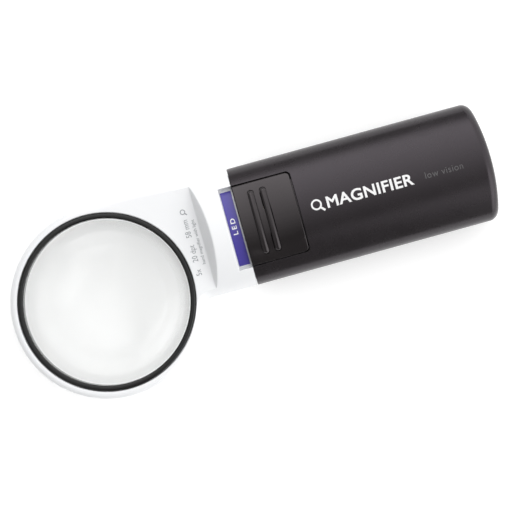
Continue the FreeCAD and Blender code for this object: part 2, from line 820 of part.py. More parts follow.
def make_head_contacts():
    """The two spring blades that stand on the spigot's floor."""
    floor = "-(mid_height - top_collar_wall)"
    top = "guide_low - strip - touch_gap"
    sides = [across(f"bridge_y {sign} bridge_half") for sign in "-+"]
    bent_strip("head_contact_positive", [
        ("head_contact_foot", floor), ("positive_riser", floor), ("positive_riser", top),
        ("positive_tab", top), ("positive_tab", f"{top} - blade"),
        ("positive_riser - blade", f"{top} - blade"), ("positive_riser - blade", f"{floor} + blade"),
        ("head_contact_foot", f"{floor} + blade"),
    ], *sides)
    sides = [across(text) for text in ("-negative_outer", "-negative_inner")]
    level = "negative_level"
    bent_strip("head_contact_negative", [
        ("head_contact_foot", floor), ("negative_riser", floor), ("negative_riser", f"{level} - blade"),
        ("negative_reach", f"{level} - blade"), ("negative_reach", level),
        ("negative_riser - blade", level), ("negative_riser - blade", f"{floor} + blade"),
        ("head_contact_foot", f"{floor} + blade"),
    ], *sides)


def make_wire(name, points):
    """A thin wire along straight runs joined by arcs as large as the runs allow."""
    vectors = [FreeCAD.Vector(*(value(text) for text in point)) for point in points]
    edges = []
    last = vectors[0]
    for before, corner, after in zip(vectors, vectors[1:], vectors[2:]):
        back = (before - corner).normalize()
        ahead = (after - corner).normalize()
        reach = BEND_SHARE * min((before - corner).Length, (after - corner).Length)
        start = corner + back * reach
        finish = corner + ahead * reach
        turn = math.pi - back.getAngle(ahead)
        radius = reach / math.tan(turn / 2)
        inward = (back + ahead).normalize()
        middle = corner + inward * (radius / math.cos(turn / 2) - radius)
        edges.append(Part.LineSegment(last, start).toShape())
        edges.append(Part.Arc(start, middle, finish).toShape())
        last = finish
    edges.append(Part.LineSegment(last, vectors[-1]).toShape())
    path = Part.Wire(edges)
    direction = vectors[1] - vectors[0]
    circle = Part.Circle(vectors[0], direction, value("wire_radius"))
    section = Part.Wire(circle.toShape())
    wire = doc.addObject("Part::Feature", name)
    wire.Label = name
    wire.Shape = path.makePipeShell([section], True, False)
    parts.append(wire)


def make_wires():
    """The wires from the head's contacts to the board."""
    floor = above("-(mid_height - top_collar_wall) + blade + wire_radius")
    negative_y = "-(negative_inner + negative_outer) / 2"
    for name, board_y, tray_y in (
        ("head_wire_positive", "led_y + positive_spread", across("bridge_y")),
        ("head_wire_negative", "led_y - negative_spread", across(negative_y)),
    ):
        make_wire(name, [
            ("board_rear - wire_start", board_y, above("board_low - wire_radius")),
            ("board_rear + wire_bend", board_y, above("wire_bend_high")),
            ("collar_rear - bulkhead - wire_pass", f"({board_y} + {tray_y}) / 2", above("-wire_pass_low")),
            ("collar_rear + wire_entry", tray_y, above("-wire_entry_low")),
            ("head_contact_foot + wire_landing", tray_y, floor),
            ("head_contact_foot + wire_end", tray_y, floor),
        ])


def make_carrier():
    """The cradle that the three cells lie in."""
    body = new_body("battery_carrier")
    corners, arcs = half_oval("carrier_inset", -1)
    block = outline(body, "carrier_block", "YZ", corners, arcs, level="carrier_front")
    extrude("Pad", block, "carrier_rear - carrier_front")
    sides = (across("-grip_half_width"), across("grip_half_width"))
    corners = rectangle(*sides, "0", above("carrier_floor"))
    under = outline(body, "carrier_under", "YZ", corners, level="carrier_front")
    extrude("Pocket", under, "carrier_rear - carrier_front", backward=True)
    spots = [
        (across(place), "mid_height", "cell_radius + cradle_gap")
        for place in ("-cell_pitch", "0", "cell_pitch")
    ]
    level = "carrier_front + carrier_wall"
    troughs = circles(body, "carrier_troughs", "YZ", spots, level=level)
    extrude("Pocket", troughs, "carrier_rear - carrier_front - 2 * carrier_wall", backward=True)
    reach = "(cell_pitch + plate_half_size + fit_gap)"
    slot = rectangle(across(f"-{reach}"), across(reach), above("-(plate_half_size + fit_gap)"), above("overcut"))
    for name, level, backward in (
        ("carrier_front_slot", level, True),
        ("carrier_rear_slot", "carrier_rear - carrier_wall", False),
    ):
        ends = outline(body, name, "YZ", slot, level=level)
        extrude("Pocket", ends, "plate_slot", backward=backward)


def make_cells():
    """Three AAA cells side by side, the middle one turned round."""
    front = "(carrier_front + carrier_wall + nub_gap)"
    sprung_nub = "cell_front_sprung + cell_can - nub_overlap"
    for name, place, can_start, nub_start in (
        ("cell_left", "-cell_pitch", "cell_front_sprung", sprung_nub),
        ("cell_middle", "0", f"{front} + cell_nub - nub_overlap", front),
        ("cell_right", "cell_pitch", "cell_front_sprung", sprung_nub),
    ):
        along = FreeCAD.Vector(1, 0, 0)
        spot = (across(place), "mid_height")
        can = cylinder(f"{name}_can", "cell_radius", "cell_can", (can_start, *spot), along)
        nub = cylinder(f"{name}_nub", "nub_radius", "cell_nub", (nub_start, *spot), along)
        fuse(name, [can, nub])


def make_battery_contacts():
    """The plates and strips that join the cells in series."""
    wall = "(carrier_front + carrier_wall)"
    size = "plate_half_size"
    sides = [across(text) for text in ("-cell_contact_outer", "-(link_start + link_gap)")]
    arm = "negative_level + touch_gap"
    hook = "carrier_front - fit_gap"
    bent_strip("front_contact_negative", [
        ("negative_tab", arm), (hook, arm), (hook, "plate_gap"),
        (f"{wall} + plate_gap", "plate_gap"), (f"{wall} + plate_gap", f"-{size}"),
        (f"{wall} + plate_gap + blade", f"-{size}"), (f"{wall} + plate_gap + blade", "plate_gap + blade"),
        (f"{hook} - blade", "plate_gap + blade"),
        (f"{hook} - blade", f"{arm} + blade"), ("negative_tab", f"{arm} + blade"),
    ], *sides)
    levels = (above(f"-{size}"), above(size))
    front = (f"{wall} + plate_gap", f"{wall} + plate_gap + plate_skin")
    link_sides = (across("-link_start"), across(f"cell_pitch + {size}"))
    parts.append(box("front_contact_link", front, link_sides, levels))
    rear_wall = "(carrier_rear - carrier_wall)"
    rear = (f"{rear_wall} - plate_gap - plate_skin", f"{rear_wall} - plate_gap")
    link_sides = (across(f"-cell_pitch - {size}"), across(size))
    parts.append(box("rear_contact_link", rear, link_sides, levels))

    strip_low, strip_high = above("fit_gap"), above("fit_gap + blade")
    side_low = "cell_pitch + cell_radius + side_strip_gap"
    side = (across(side_low), across(f"{side_low} + side_strip_width"))
    plate_sides = (across(f"cell_pitch - {size}"), across(f"cell_pitch + {size}"))
    plate = box("return_plate", rear, plate_sides, levels)
    link_sides = (across(f"cell_pitch + {size} - side_link_overlap"), side[1])
    link = box("return_link", rear, link_sides, (strip_low, above("side_link_high")))
    run = box("return_run", ("guide_rear - blade", rear[1]), side, (strip_low, strip_high))
    arm_sides = (across("bridge_y - bridge_half"), side[1])
    arm_levels = (strip_low, above("guide_low - strip"))
    arm = box("return_arm", ("guide_rear - blade", "guide_rear"), arm_sides, arm_levels)
    fuse("return_strip", [plate, link, run, arm])


def make_springs():
    """The three coil springs on the cells' negative ends, one node of separate solids."""
    clear = "(plate_gap + plate_skin + spring_wire + plate_gap)"
    front = f"carrier_front + carrier_wall + {clear}"
    rear = f"carrier_rear - carrier_wall - {clear} - spring_length"
    coils = []
    for start, place in ((front, "-cell_pitch"), (rear, "0"), (front, "cell_pitch")):
        radius = value("spring_radius")
        helix = Part.makeHelix(value("spring_pitch"), value("spring_length"), radius)
        circle = Part.Circle(FreeCAD.Vector(radius, 0, 0), FreeCAD.Vector(0, 1, 0), value("spring_wire"))
        coil = Part.Wire(helix.Edges).makePipeShell([Part.Wire(circle.toShape())], True, True)
        coil.rotate(FreeCAD.Vector(0, 0, 0), FreeCAD.Vector(0, 1, 0), 90)
        coil.translate(FreeCAD.Vector(value(start), value(across(place)), value("mid_height")))
        coils.append(coil)
    springs = doc.addObject("Part::Feature", "battery_springs")
    springs.Label = "battery_springs"
    springs.Shape = Part.makeCompound(coils)
    parts.append(springs)


def check_and_export():
    """Refuse a failed document, then write each sub-part to its own file."""
    doc.recompute()
    for item in doc.Objects:
        if {"Invalid", "Error"} & set(item.State):
            raise ValueError(f"{item.Name} failed: {item.State}")
        if item.TypeId == "PartDesign::Pocket":
            removed = item.BaseFeature.Shape.Volume - item.Shape.Volume
            if removed < 0.01:
                raise ValueError(f"{item.Name} cuts nothing")
    for part in parts:
        if part.Shape.isNull() or not part.Shape.isValid() or not part.Shape.Solids:
            raise ValueError(f"{part.Label} has no valid solid")
    os.makedirs("parts", exist_ok=True)
    for part in parts:
        part.Shape.exportStep(f"parts/{part.Label}.step")
        print(f"{part.Label:24s} {len(part.Shape.Solids)} solid(s) {part.Shape.Volume:10.1f} mm3")


make_sleeve()
make_slider()
make_top_shell()
make_bottom_shell()
make_lens()
make_retaining_ring()
make_label()
make_light()
make_screws()
make_switch_contacts()
make_head_contacts()
make_wires()
make_carrier()
make_cells()
make_battery_contacts()
make_springs()
check_and_export()
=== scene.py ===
import math

import bmesh
import bpy
from mathutils import Matrix, Vector


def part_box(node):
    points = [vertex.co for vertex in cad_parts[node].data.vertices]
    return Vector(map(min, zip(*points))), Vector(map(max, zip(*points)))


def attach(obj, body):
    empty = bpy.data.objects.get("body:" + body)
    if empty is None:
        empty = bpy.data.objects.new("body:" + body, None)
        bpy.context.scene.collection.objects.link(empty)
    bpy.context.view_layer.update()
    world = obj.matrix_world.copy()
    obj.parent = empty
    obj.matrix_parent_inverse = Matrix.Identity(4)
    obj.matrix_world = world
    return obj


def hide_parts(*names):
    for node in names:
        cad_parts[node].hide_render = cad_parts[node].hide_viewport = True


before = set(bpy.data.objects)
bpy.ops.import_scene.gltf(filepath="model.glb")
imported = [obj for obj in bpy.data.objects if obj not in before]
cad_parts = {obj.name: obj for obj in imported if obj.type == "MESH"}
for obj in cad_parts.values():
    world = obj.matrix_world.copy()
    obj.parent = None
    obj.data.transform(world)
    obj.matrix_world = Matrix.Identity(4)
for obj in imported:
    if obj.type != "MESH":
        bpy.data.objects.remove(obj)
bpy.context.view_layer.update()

MM = 0.001
scene = bpy.context.scene

# The white room's light. Over the grip it is dimmest on the -Y side and brightest on the +Y side,
# down to a soft lower edge; past the two ends it is even, and dimmer beyond the lens.
OVERHEAD_LOW = 0.21
OVERHEAD_HIGH = 2.6
OVERHEAD_SIDE_EDGE = (-0.5, 0.9)
OVERHEAD_FLOOR_EDGE = (13, 25)
OVERHEAD_END_EDGE = (0.2, 0.5)
END_LEVEL = (0.43, 1.55)
END_EDGE = (-0.7, 0.3)

# Places and sizes read from the frame.
sleeve_low, sleeve_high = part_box("grip_sleeve")
collar_low, collar_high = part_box("head_top_shell")
ring_low, ring_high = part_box("lens_retaining_ring")
lens_low, lens_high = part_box("lens")
slider_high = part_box("switch_slider")[1]
label_low, label_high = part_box("led_label")
window_low, window_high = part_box("light_window")
spigot_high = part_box("head_bottom_shell")[1]
screws_low, screws_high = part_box("head_screws")

MID = collar_low.z
AXIS_Y = (sleeve_low.y + sleeve_high.y) / 2
HALF_WIDTH = (sleeve_high.y - sleeve_low.y) / 2
HALF_HEIGHT = sleeve_high.z - MID
REST_DROP = MID - sleeve_low.z
SIDE_R = 9 * MM
SIDE_CENTRE = HALF_WIDTH - SIDE_R
CROWN_R = (HALF_WIDTH**2 + HALF_HEIGHT**2 - 2 * HALF_WIDTH * SIDE_R) / (2 * (HALF_HEIGHT - SIDE_R))
CROWN_DROP = CROWN_R - HALF_HEIGHT
WALL = 2 * MM
LENS_X = (ring_low.x + ring_high.x) / 2
HEAD_R = LENS_X - collar_low.x
COLLAR_REAR = collar_high.x
STEP_FOOT = -15.9 * MM
STEP_CREST = -12.8 * MM
PLATE = 6.5 * MM
NECK_BLEND = 4.3 * MM
BORE_R = 31.3 * MM
RING_OUTER = (ring_high.x - ring_low.x) / 2
RING_INNER = 29.2 * MM
RECESS_FRONT = COLLAR_REAR - 4.65 * MM
RECESS_DEPTH = 2.5 * MM
NOTCH_REAR = 19.2 * MM
NOTCH_HALF = 14.55 * MM
NOTCH_CORNER = 1.8 * MM
SLIDE_GAP = 0.35 * MM
SLIDER_DROP = 0.15 * MM
SLIDER_SKIN = 1.8 * MM


# ---------------------------------------------------------------- mesh helpers

NORMAL_WEIGHT = 60
SHARP_ANGLE = math.radians(35)


def loft(mesh, rings, closed=True):
    """Joins rings of equally many points with quads and returns the rings of vertices."""
    rows = [[mesh.verts.new(point) for point in ring] for ring in rings]
    for near, far in zip(rows, rows[1:]):
        count = len(near)
        for index in range(count if closed else count - 1):
            after = (index + 1) % count
            mesh.faces.new((near[index], near[after], far[after], far[index]))
    return rows


def bake_modifiers(piece):
    """Turns the piece's modifiers into its mesh."""
    bpy.context.view_layer.update()
    graph = bpy.context.evaluated_depsgraph_get()
    mesh = bpy.data.meshes.new_from_object(piece.evaluated_get(graph))
    piece.modifiers.clear()
    old = piece.data
    piece.data = mesh
    bpy.data.meshes.remove(old)


def make_piece(name, mesh, merge=1e-7):
    """An object made of a finished bmesh, closed up, facing outward and shaded smooth."""
    bmesh.ops.remove_doubles(mesh, verts=mesh.verts, dist=merge)
    bmesh.ops.recalc_face_normals(mesh, faces=mesh.faces)
    for face in mesh.faces:
        face.smooth = True
    data = bpy.data.meshes.new(name)
    mesh.to_mesh(data)
    mesh.free()
    piece = bpy.data.objects.new(name, data)
    scene.collection.objects.link(piece)
    return piece


def soften(piece, width, segments=3, angle=30):
    """Rounds the sharp edges of a piece and keeps its large faces flat."""
    bevel = piece.modifiers.new("bevel", "BEVEL")
    bevel.width = width
    bevel.segments = segments
    bevel.limit_method = "ANGLE"
    bevel.angle_limit = math.radians(angle)
    bevel.use_clamp_overlap = False
    normals = piece.modifiers.new("normals", "WEIGHTED_NORMAL")
    normals.keep_sharp = False
    normals.weight = NORMAL_WEIGHT
    bake_modifiers(piece)


def dress(piece, material, body, slot, *nodes):
    """Gives a piece its material, its body and the nodes it stands for; slot is not used."""
    piece.data.materials.clear()
    piece.data.materials.append(material)
    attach(piece, body)
    if nodes:
        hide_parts(*nodes)


def arc(centre_u, centre_w, radius, start, end, steps):
    """Points of an arc in a plane, without its last one; angles in degrees."""
    points = []
    for step in range(steps):
        angle = math.radians(start + (end - start) * step / steps)
        points.append((centre_u + radius * math.cos(angle), centre_w + radius * math.sin(angle)))
    return points


def subtract(piece, cutter, own_overlaps=False):
    """Cuts a closed piece with another one and removes the cutter."""
    boolean = piece.modifiers.new("cut", "BOOLEAN")
    boolean.operation = "DIFFERENCE"
    boolean.solver = "EXACT"
    boolean.use_self = own_overlaps
    boolean.object = cutter
    bake_modifiers(piece)
    bpy.data.objects.remove(cutter)


# ---------------------------------------------------------------- shape of the oval

def tangent(inset):
    """Where the side arc meets the crown arc, for the oval moved inward by inset."""
    scale = (SIDE_R - inset) / (CROWN_R - SIDE_R)
    return SIDE_CENTRE * (1 + scale), CROWN_DROP * scale


def oval_height(u, inset=0.0):
    """Height of the oval's upper side above its middle, at a distance u from its axis."""
    u = abs(u)
    if u <= tangent(inset)[0]:
        return math.sqrt((CROWN_R - inset) ** 2 - u * u) - CROWN_DROP
    return math.sqrt(max((SIDE_R - inset) ** 2 - (u - SIDE_CENTRE) ** 2, 0.0))


def oval_section(inset):
    """The whole oval with its flat underside, as (u, w) points; the count never changes."""
    flat = REST_DROP - inset
    flat_half = math.sqrt((CROWN_R - inset) ** 2 - (CROWN_DROP + flat) ** 2)
    lean = math.degrees(math.atan2(CROWN_DROP, SIDE_CENTRE))
    crown = CROWN_R - inset
    side = SIDE_R - inset
    low = math.degrees(math.atan2(-(CROWN_DROP + flat), flat_half))
    notch = math.degrees(math.acos(NOTCH_HALF / CROWN_R))
    points = [(-flat_half + 2 * flat_half * step / 8, -flat) for step in range(8)]
    points += arc(0, CROWN_DROP, crown, low, -lean, 14)
    points += arc(SIDE_CENTRE, 0, side, -lean, lean, 26)
    points += arc(0, -CROWN_DROP, crown, lean, notch, 6)
    points += arc(0, -CROWN_DROP, crown, notch, 180 - notch, 44)
    points += arc(0, -CROWN_DROP, crown, 180 - notch, 180 - lean, 6)
    points += arc(-SIDE_CENTRE, 0, side, 180 - lean, 180 + lean, 26)
    points += arc(0, CROWN_DROP, crown, 180 + lean, 180 - low, 14)
    return points


def at_grip(x, u, w):
    """A point beside and above the grip's axis, in the row frame."""
    return Vector((x, AXIS_Y + u, MID + w))


# ---------------------------------------------------------------- materials

DRIFT_SCALE = 55
SMUDGE_SCALE = 140
GRAIN_DEPTH = 0.03 * MM


def plastic(name, colour, roughness, grain=0.0, grain_scale=5200, drift=0.06, wear=0.12, specular=0.5,
            tint=(1, 1, 1)):
    """Moulded plastic: slight colour and roughness drift, and a fine moulded grain."""
    material = bpy.data.materials.new(name)
    material.use_nodes = True
    nodes, links = material.node_tree.nodes, material.node_tree.links
    shader = nodes["Principled BSDF"]
    shader.inputs["Specular IOR Level"].default_value = specular
    shader.inputs["Specular Tint"].default_value = (*tint, 1)
    place = nodes.new("ShaderNodeTexCoord")

    slow = nodes.new("ShaderNodeTexNoise")
    slow.inputs["Scale"].default_value = DRIFT_SCALE
    slow.inputs["Detail"].default_value = 4
    links.new(place.outputs["Object"], slow.inputs["Vector"])
    ramp = nodes.new("ShaderNodeValToRGB")
    for stop, level in zip(ramp.color_ramp.elements, (1 - drift, 1 + drift)):
        stop.color = (*(min(channel * level, 1) for channel in colour), 1)
    ramp.color_ramp.elements[0].position = 0.3
    ramp.color_ramp.elements[1].position = 0.7
    links.new(slow.outputs["Fac"], ramp.inputs["Fac"])
    links.new(ramp.outputs["Color"], shader.inputs["Base Color"])

    smudge = nodes.new("ShaderNodeTexNoise")
    smudge.inputs["Scale"].default_value = SMUDGE_SCALE
    smudge.inputs["Detail"].default_value = 6
    links.new(place.outputs["Object"], smudge.inputs["Vector"])
    spread = nodes.new("ShaderNodeMapRange")
    spread.inputs["From Min"].default_value = 0.25
    spread.inputs["From Max"].default_value = 0.75
    spread.inputs["To Min"].default_value = roughness * (1 - wear)
    spread.inputs["To Max"].default_value = roughness * (1 + wear)
    links.new(smudge.outputs["Fac"], spread.inputs["Value"])
    links.new(spread.outputs["Result"], shader.inputs["Roughness"])

    if grain:
        fine = nodes.new("ShaderNodeTexNoise")
        fine.inputs["Scale"].default_value = grain_scale
        fine.inputs["Detail"].default_value = 2
        links.new(place.outputs["Object"], fine.inputs["Vector"])
        bump = nodes.new("ShaderNodeBump")
        bump.inputs["Strength"].default_value = grain
        bump.inputs["Distance"].default_value = GRAIN_DEPTH
        links.new(fine.outputs["Fac"], bump.inputs["Height"])
        links.new(bump.outputs["Normal"], shader.inputs["Normal"])
    return material


def metal(name, colour, roughness):
    """Plated sheet metal with faint brushing and tarnish."""
    material = plastic(name, colour, roughness, grain=0.25, grain_scale=2600, drift=0.12)
    material.node_tree.nodes["Principled BSDF"].inputs["Metallic"].default_value = 1.0
    return material


def clear(name, colour, roughness, ior=1.49):
    """Clear moulded acrylic, with faint polishing marks in its roughness."""
    material = plastic(name, colour, roughness, drift=0.004)
    shader = material.node_tree.nodes["Principled BSDF"]
    shader.inputs["Transmission Weight"].default_value = 1.0
    shader.inputs["IOR"].default_value = ior
    return material


GRIP_BLACK = plastic("grip_black", (0.0100, 0.0085, 0.0088), 0.27, grain=0.25, specular=0.48,
                     tint=(1.0, 0.9, 1.0))
SLIDER_BLACK = plastic("slider_black", (0.0100, 0.0085, 0.0086), 0.17, grain=0.08, tint=(1.0, 0.92, 0.96))
INNER_BLACK = plastic("inner_black", (0.024, 0.024, 0.025), 0.5, grain=0.35)
HEAD_WHITE = plastic("head_white", (0.83, 0.838, 0.85), 0.3, grain=0.06, drift=0.006, wear=0.04)
RING_BLACK = plastic("ring_black", (0.006, 0.006, 0.006), 0.14, drift=0.1, specular=0.35)
LABEL_BLUE = plastic("label_blue", (0.060, 0.045, 0.30), 0.30, drift=0.08)
PRINT_WHITE = plastic("print_white", (0.82, 0.82, 0.82), 0.5, grain=0.2, drift=0.03)
PRINT_FAINT = plastic("print_faint", (0.085, 0.082, 0.085), 0.5, grain=0.2, drift=0.05)
PRINT_GREY = plastic("print_grey", (0.30, 0.31, 0.33), 0.5, grain=0.2, drift=0.05)
LENS_CLEAR = clear("lens_clear", (0.985, 0.99, 0.985), 0.004)
WINDOW_CLEAR = clear("window_clear", (0.96, 0.97, 0.98), 0.06)
LED_CLEAR = clear("led_clear", (0.98, 0.96, 0.80), 0.12, ior=1.53)
BOARD_GREEN = plastic("board_green", (0.02, 0.16, 0.06), 0.35, drift=0.15)
STEEL = metal("steel", (0.55, 0.55, 0.57), 0.32)
CONTACT = metal("contact_metal", (0.72, 0.66, 0.50), 0.28)
WIRE_RED = plastic("wire_red", (0.45, 0.015, 0.012), 0.42, drift=0.08)
WIRE_BLACK = plastic("wire_black", (0.02, 0.02, 0.02), 0.42, drift=0.08)


def cell_wrap():
    """The cells' wrapper: a dark can with a copper-coloured band at one end."""
    band_start = 67 * MM
    band_edge = 0.2 * MM
    material = plastic("cell_wrap", (0.02, 0.022, 0.026), 0.3, drift=0.1)
    nodes, links = material.node_tree.nodes, material.node_tree.links
    shader = nodes["Principled BSDF"]
    shader.inputs["Metallic"].default_value = 0.6
    place = nodes.new("ShaderNodeTexCoord")
    split = nodes.new("ShaderNodeSeparateXYZ")
    links.new(place.outputs["Object"], split.inputs["Vector"])
    band = nodes.new("ShaderNodeMapRange")
    band.inputs["From Min"].default_value = band_start
    band.inputs["From Max"].default_value = band_start + band_edge
    links.new(split.outputs["X"], band.inputs["Value"])
    mix = nodes.new("ShaderNodeMix")
    mix.data_type = "RGBA"
    links.new(band.outputs["Result"], mix.inputs["Factor"])
    links.new(nodes["Color Ramp"].outputs["Color"], mix.inputs["A"])
    mix.inputs["B"].default_value = (0.52, 0.24, 0.09, 1)
    links.new(mix.outputs["Result"], shader.inputs["Base Color"])
    return material


CELL_WRAP = cell_wrap()


# ---------------------------------------------------------------- grip sleeve

def make_sleeve():
    """The oval sleeve: bowed and rounded closed end, thin front lip and switch notch."""
    front, rear = sleeve_low.x, sleeve_high.x
    rounding = 3 * MM
    lip = 0.3 * MM
    bow_radius = 128 * MM
    end_wall = 2.6 * MM
    stations = (70 * MM, 45 * MM, NOTCH_REAR, front + lip)

    def bow(u):
        return bow_radius - math.sqrt(bow_radius**2 - u * u)

    def level_ring(x, inset):
        return [at_grip(x, u, w) for u, w in oval_section(inset)]

    def end_ring(x, inset, scale=1.0):
        section = [(u * scale, w * scale) for u, w in oval_section(inset)]
        return [at_grip(x - bow(u), u, w) for u, w in section]

    rings = [end_ring(rear, rounding, scale) for scale in (0.15, 0.35, 0.55, 0.75, 0.9)]
    turns = 10
    for turn in range(turns, -1, -1):
        angle = math.radians(90 * turn / turns)
        inset = rounding * (1 - math.cos(angle))
        rings.append(end_ring(rear - rounding + rounding * math.sin(angle), inset))
    rings += [level_ring(x, 0) for x in stations]
    for turn in range(1, 7):
        angle = math.radians(30 * turn)
        rings.append(level_ring(front + lip - lip * math.sin(angle), lip * (1 - math.cos(angle))
                                if turn <= 3 else WALL - lip * (1 + math.cos(angle))))
    rings += [level_ring(x, WALL) for x in (NOTCH_REAR, rear - end_wall)]

    mesh = bmesh.new()
    rows = loft(mesh, rings)
    mesh.faces.new(rows[0])
    mesh.faces.new(rows[-1])
    sleeve = make_piece("sleeve_shell", mesh)

    cutter = make_piece("notch_cutter", notch_block(front - 5 * MM, NOTCH_REAR, NOTCH_HALF, NOTCH_CORNER))
    subtract(sleeve, cutter)
    soften(sleeve, 0.22 * MM, angle=38)
    dress(sleeve, GRIP_BLACK, "grip", "grip_black", "grip_sleeve")


def notch_block(front, rear, half, corner):
    """An upright block with two rounded rear corners, from the middle plane upward."""
    plan = [(front, -half)] + arc(rear - corner, -half + corner, corner, -90, 0, 8)
    plan += [(rear, -half + corner)] + arc(rear - corner, half - corner, corner, 0, 90, 8)
    plan += [(rear - corner, half), (front, half)]
    mesh = bmesh.new()
    levels = (0, HALF_HEIGHT + 3 * MM)
    rows = loft(mesh, [[at_grip(x, u, w) for x, u in plan] for w in levels])
    mesh.faces.new(rows[0])
    mesh.faces.new(rows[1])
    return mesh


# ---------------------------------------------------------------- head shells

SIDE_LEAN = math.asin(PLATE / SIDE_R)
OVAL_INSET = SIDE_R * (1 - math.cos(SIDE_LEAN))
SHOULDER = 1.8 * MM
SHOULDER_ROWS = 15
SEAM = 0.2 * MM
LIP = 0.35 * MM
RECESS_CREASE = 0.7
CREASE_FADE = 2 * MM
CREASE_WIDTH = 0.5 * MM
SCREW_HEAD_R = 1.9 * MM
FOOT_FRONT = STEP_FOOT - 0.7 * MM
BLEND_FRONT = -36 * MM
EDGE_HIGH = AXIS_Y + HALF_WIDTH
EDGE_LOW = AXIS_Y - HALF_WIDTH
BLEND_X = LENS_X + math.sqrt((HEAD_R + NECK_BLEND) ** 2 - (EDGE_LOW - NECK_BLEND) ** 2)
BLEND_ANGLE = math.degrees(math.atan2(EDGE_LOW - NECK_BLEND, BLEND_X - LENS_X))
COLLAR_WALL = 4.2 * MM
HEAD_WALL = 1.8 * MM
BULKHEAD = COLLAR_REAR - 2 * MM


def spaced(start, end, steps):
    """Evenly spaced values, without the last one."""
    return [start + (end - start) * step / steps for step in range(steps)]


COLLAR_STOPS = spaced(STEP_FOOT, RECESS_FRONT, 9) + spaced(RECESS_FRONT, COLLAR_REAR, 5) + [COLLAR_REAR]


def head_contour(inset):
    """The head's plan outline moved inward, from the collar's +Y corner round to its -Y one."""
    radius = HEAD_R - inset
    high, low = EDGE_HIGH - inset, EDGE_LOW + inset
    points = [(x, high) for x in reversed(COLLAR_STOPS)]
    points += [(x, high) for x in spaced(FOOT_FRONT, LENS_X, 24)]
    points += arc(LENS_X, 0, radius, 90, 360 + BLEND_ANGLE, 170)
    away = 180 + BLEND_ANGLE
    points += arc(BLEND_X, EDGE_LOW - NECK_BLEND, NECK_BLEND + inset, away, 90, 12)
    points += [(x, low) for x in spaced(BLEND_X, FOOT_FRONT, 3)]
    points += [(FOOT_FRONT, low)]
    points += [(x, low) for x in COLLAR_STOPS]
    return points


def shoulder_row(step):
    """(inset, height) of one row of the side, on the plate and on the collar; row 0 is the seam."""
    if step == 0:
        return (SEAM, 0.0), (SEAM, 0.0)
    upright = PLATE - SHOULDER
    length = upright + SHOULDER * math.pi / 2
    first = SEAM / length
    share = first + (1 - first) * (step - 1) / (SHOULDER_ROWS - 1)
    run = share * length
    if run <= upright:
        plate = (0.0, run)
    else:
        turn = (run - upright) / SHOULDER
        plate = (SHOULDER * (1 - math.cos(turn)), upright + SHOULDER * math.sin(turn))
    lean = SIDE_LEAN * share
    return plate, (SIDE_R * (1 - math.cos(lean)), SIDE_R * math.sin(lean))


def blend_share(x):
    """How far the side has turned from the plate's shape (0) to the collar's (1)."""
    share = min(max((x - BLEND_FRONT) / (FOOT_FRONT - BLEND_FRONT), 0), 1)
    return share * share * (3 - 2 * share)


def head_side_rows(side):
    """The rows of points up the head's side, from the split plane to the flat plate."""
    outer = head_contour(0)
    rows = []
    for step in range(SHOULDER_ROWS + 1):
        plate, oval = shoulder_row(step)
        row = []
        for base, flat, bulged in zip(outer, head_contour(plate[0]), head_contour(oval[0])):
            share = blend_share(base[0])
            x = flat[0] * (1 - share) + bulged[0] * share
            y = flat[1] * (1 - share) + bulged[1] * share
            w = plate[1] * (1 - share) + oval[1] * share
            row.append(Vector((x, y, MID + side * w)))
        rows.append(row)
    return rows


def circle_points(x, y, radius, z, count):
    """A level circle of points."""
    return [Vector((px, py, z)) for px, py in arc(x, y, radius, 0, 360, count)]


def chain_edges(mesh, verts):
    """The edges along a chain of vertices, made where they are missing."""
    return [mesh.edges.get(pair) or mesh.edges.new(pair) for pair in zip(verts, verts[1:])]


def net(mesh, rows, skip=None):
    """Joins open rows of vertices with quads, but for those that skip(row, column) names."""
    for number, (near, far) in enumerate(zip(rows, rows[1:])):
        for index in range(len(near) - 1):
            if not (skip and skip(number, index)):
                mesh.faces.new((near[index], near[index + 1], far[index + 1], far[index]))


def spot(point):
    """A vertex's place as a key."""
    return tuple(round(part * 1e6) for part in point)


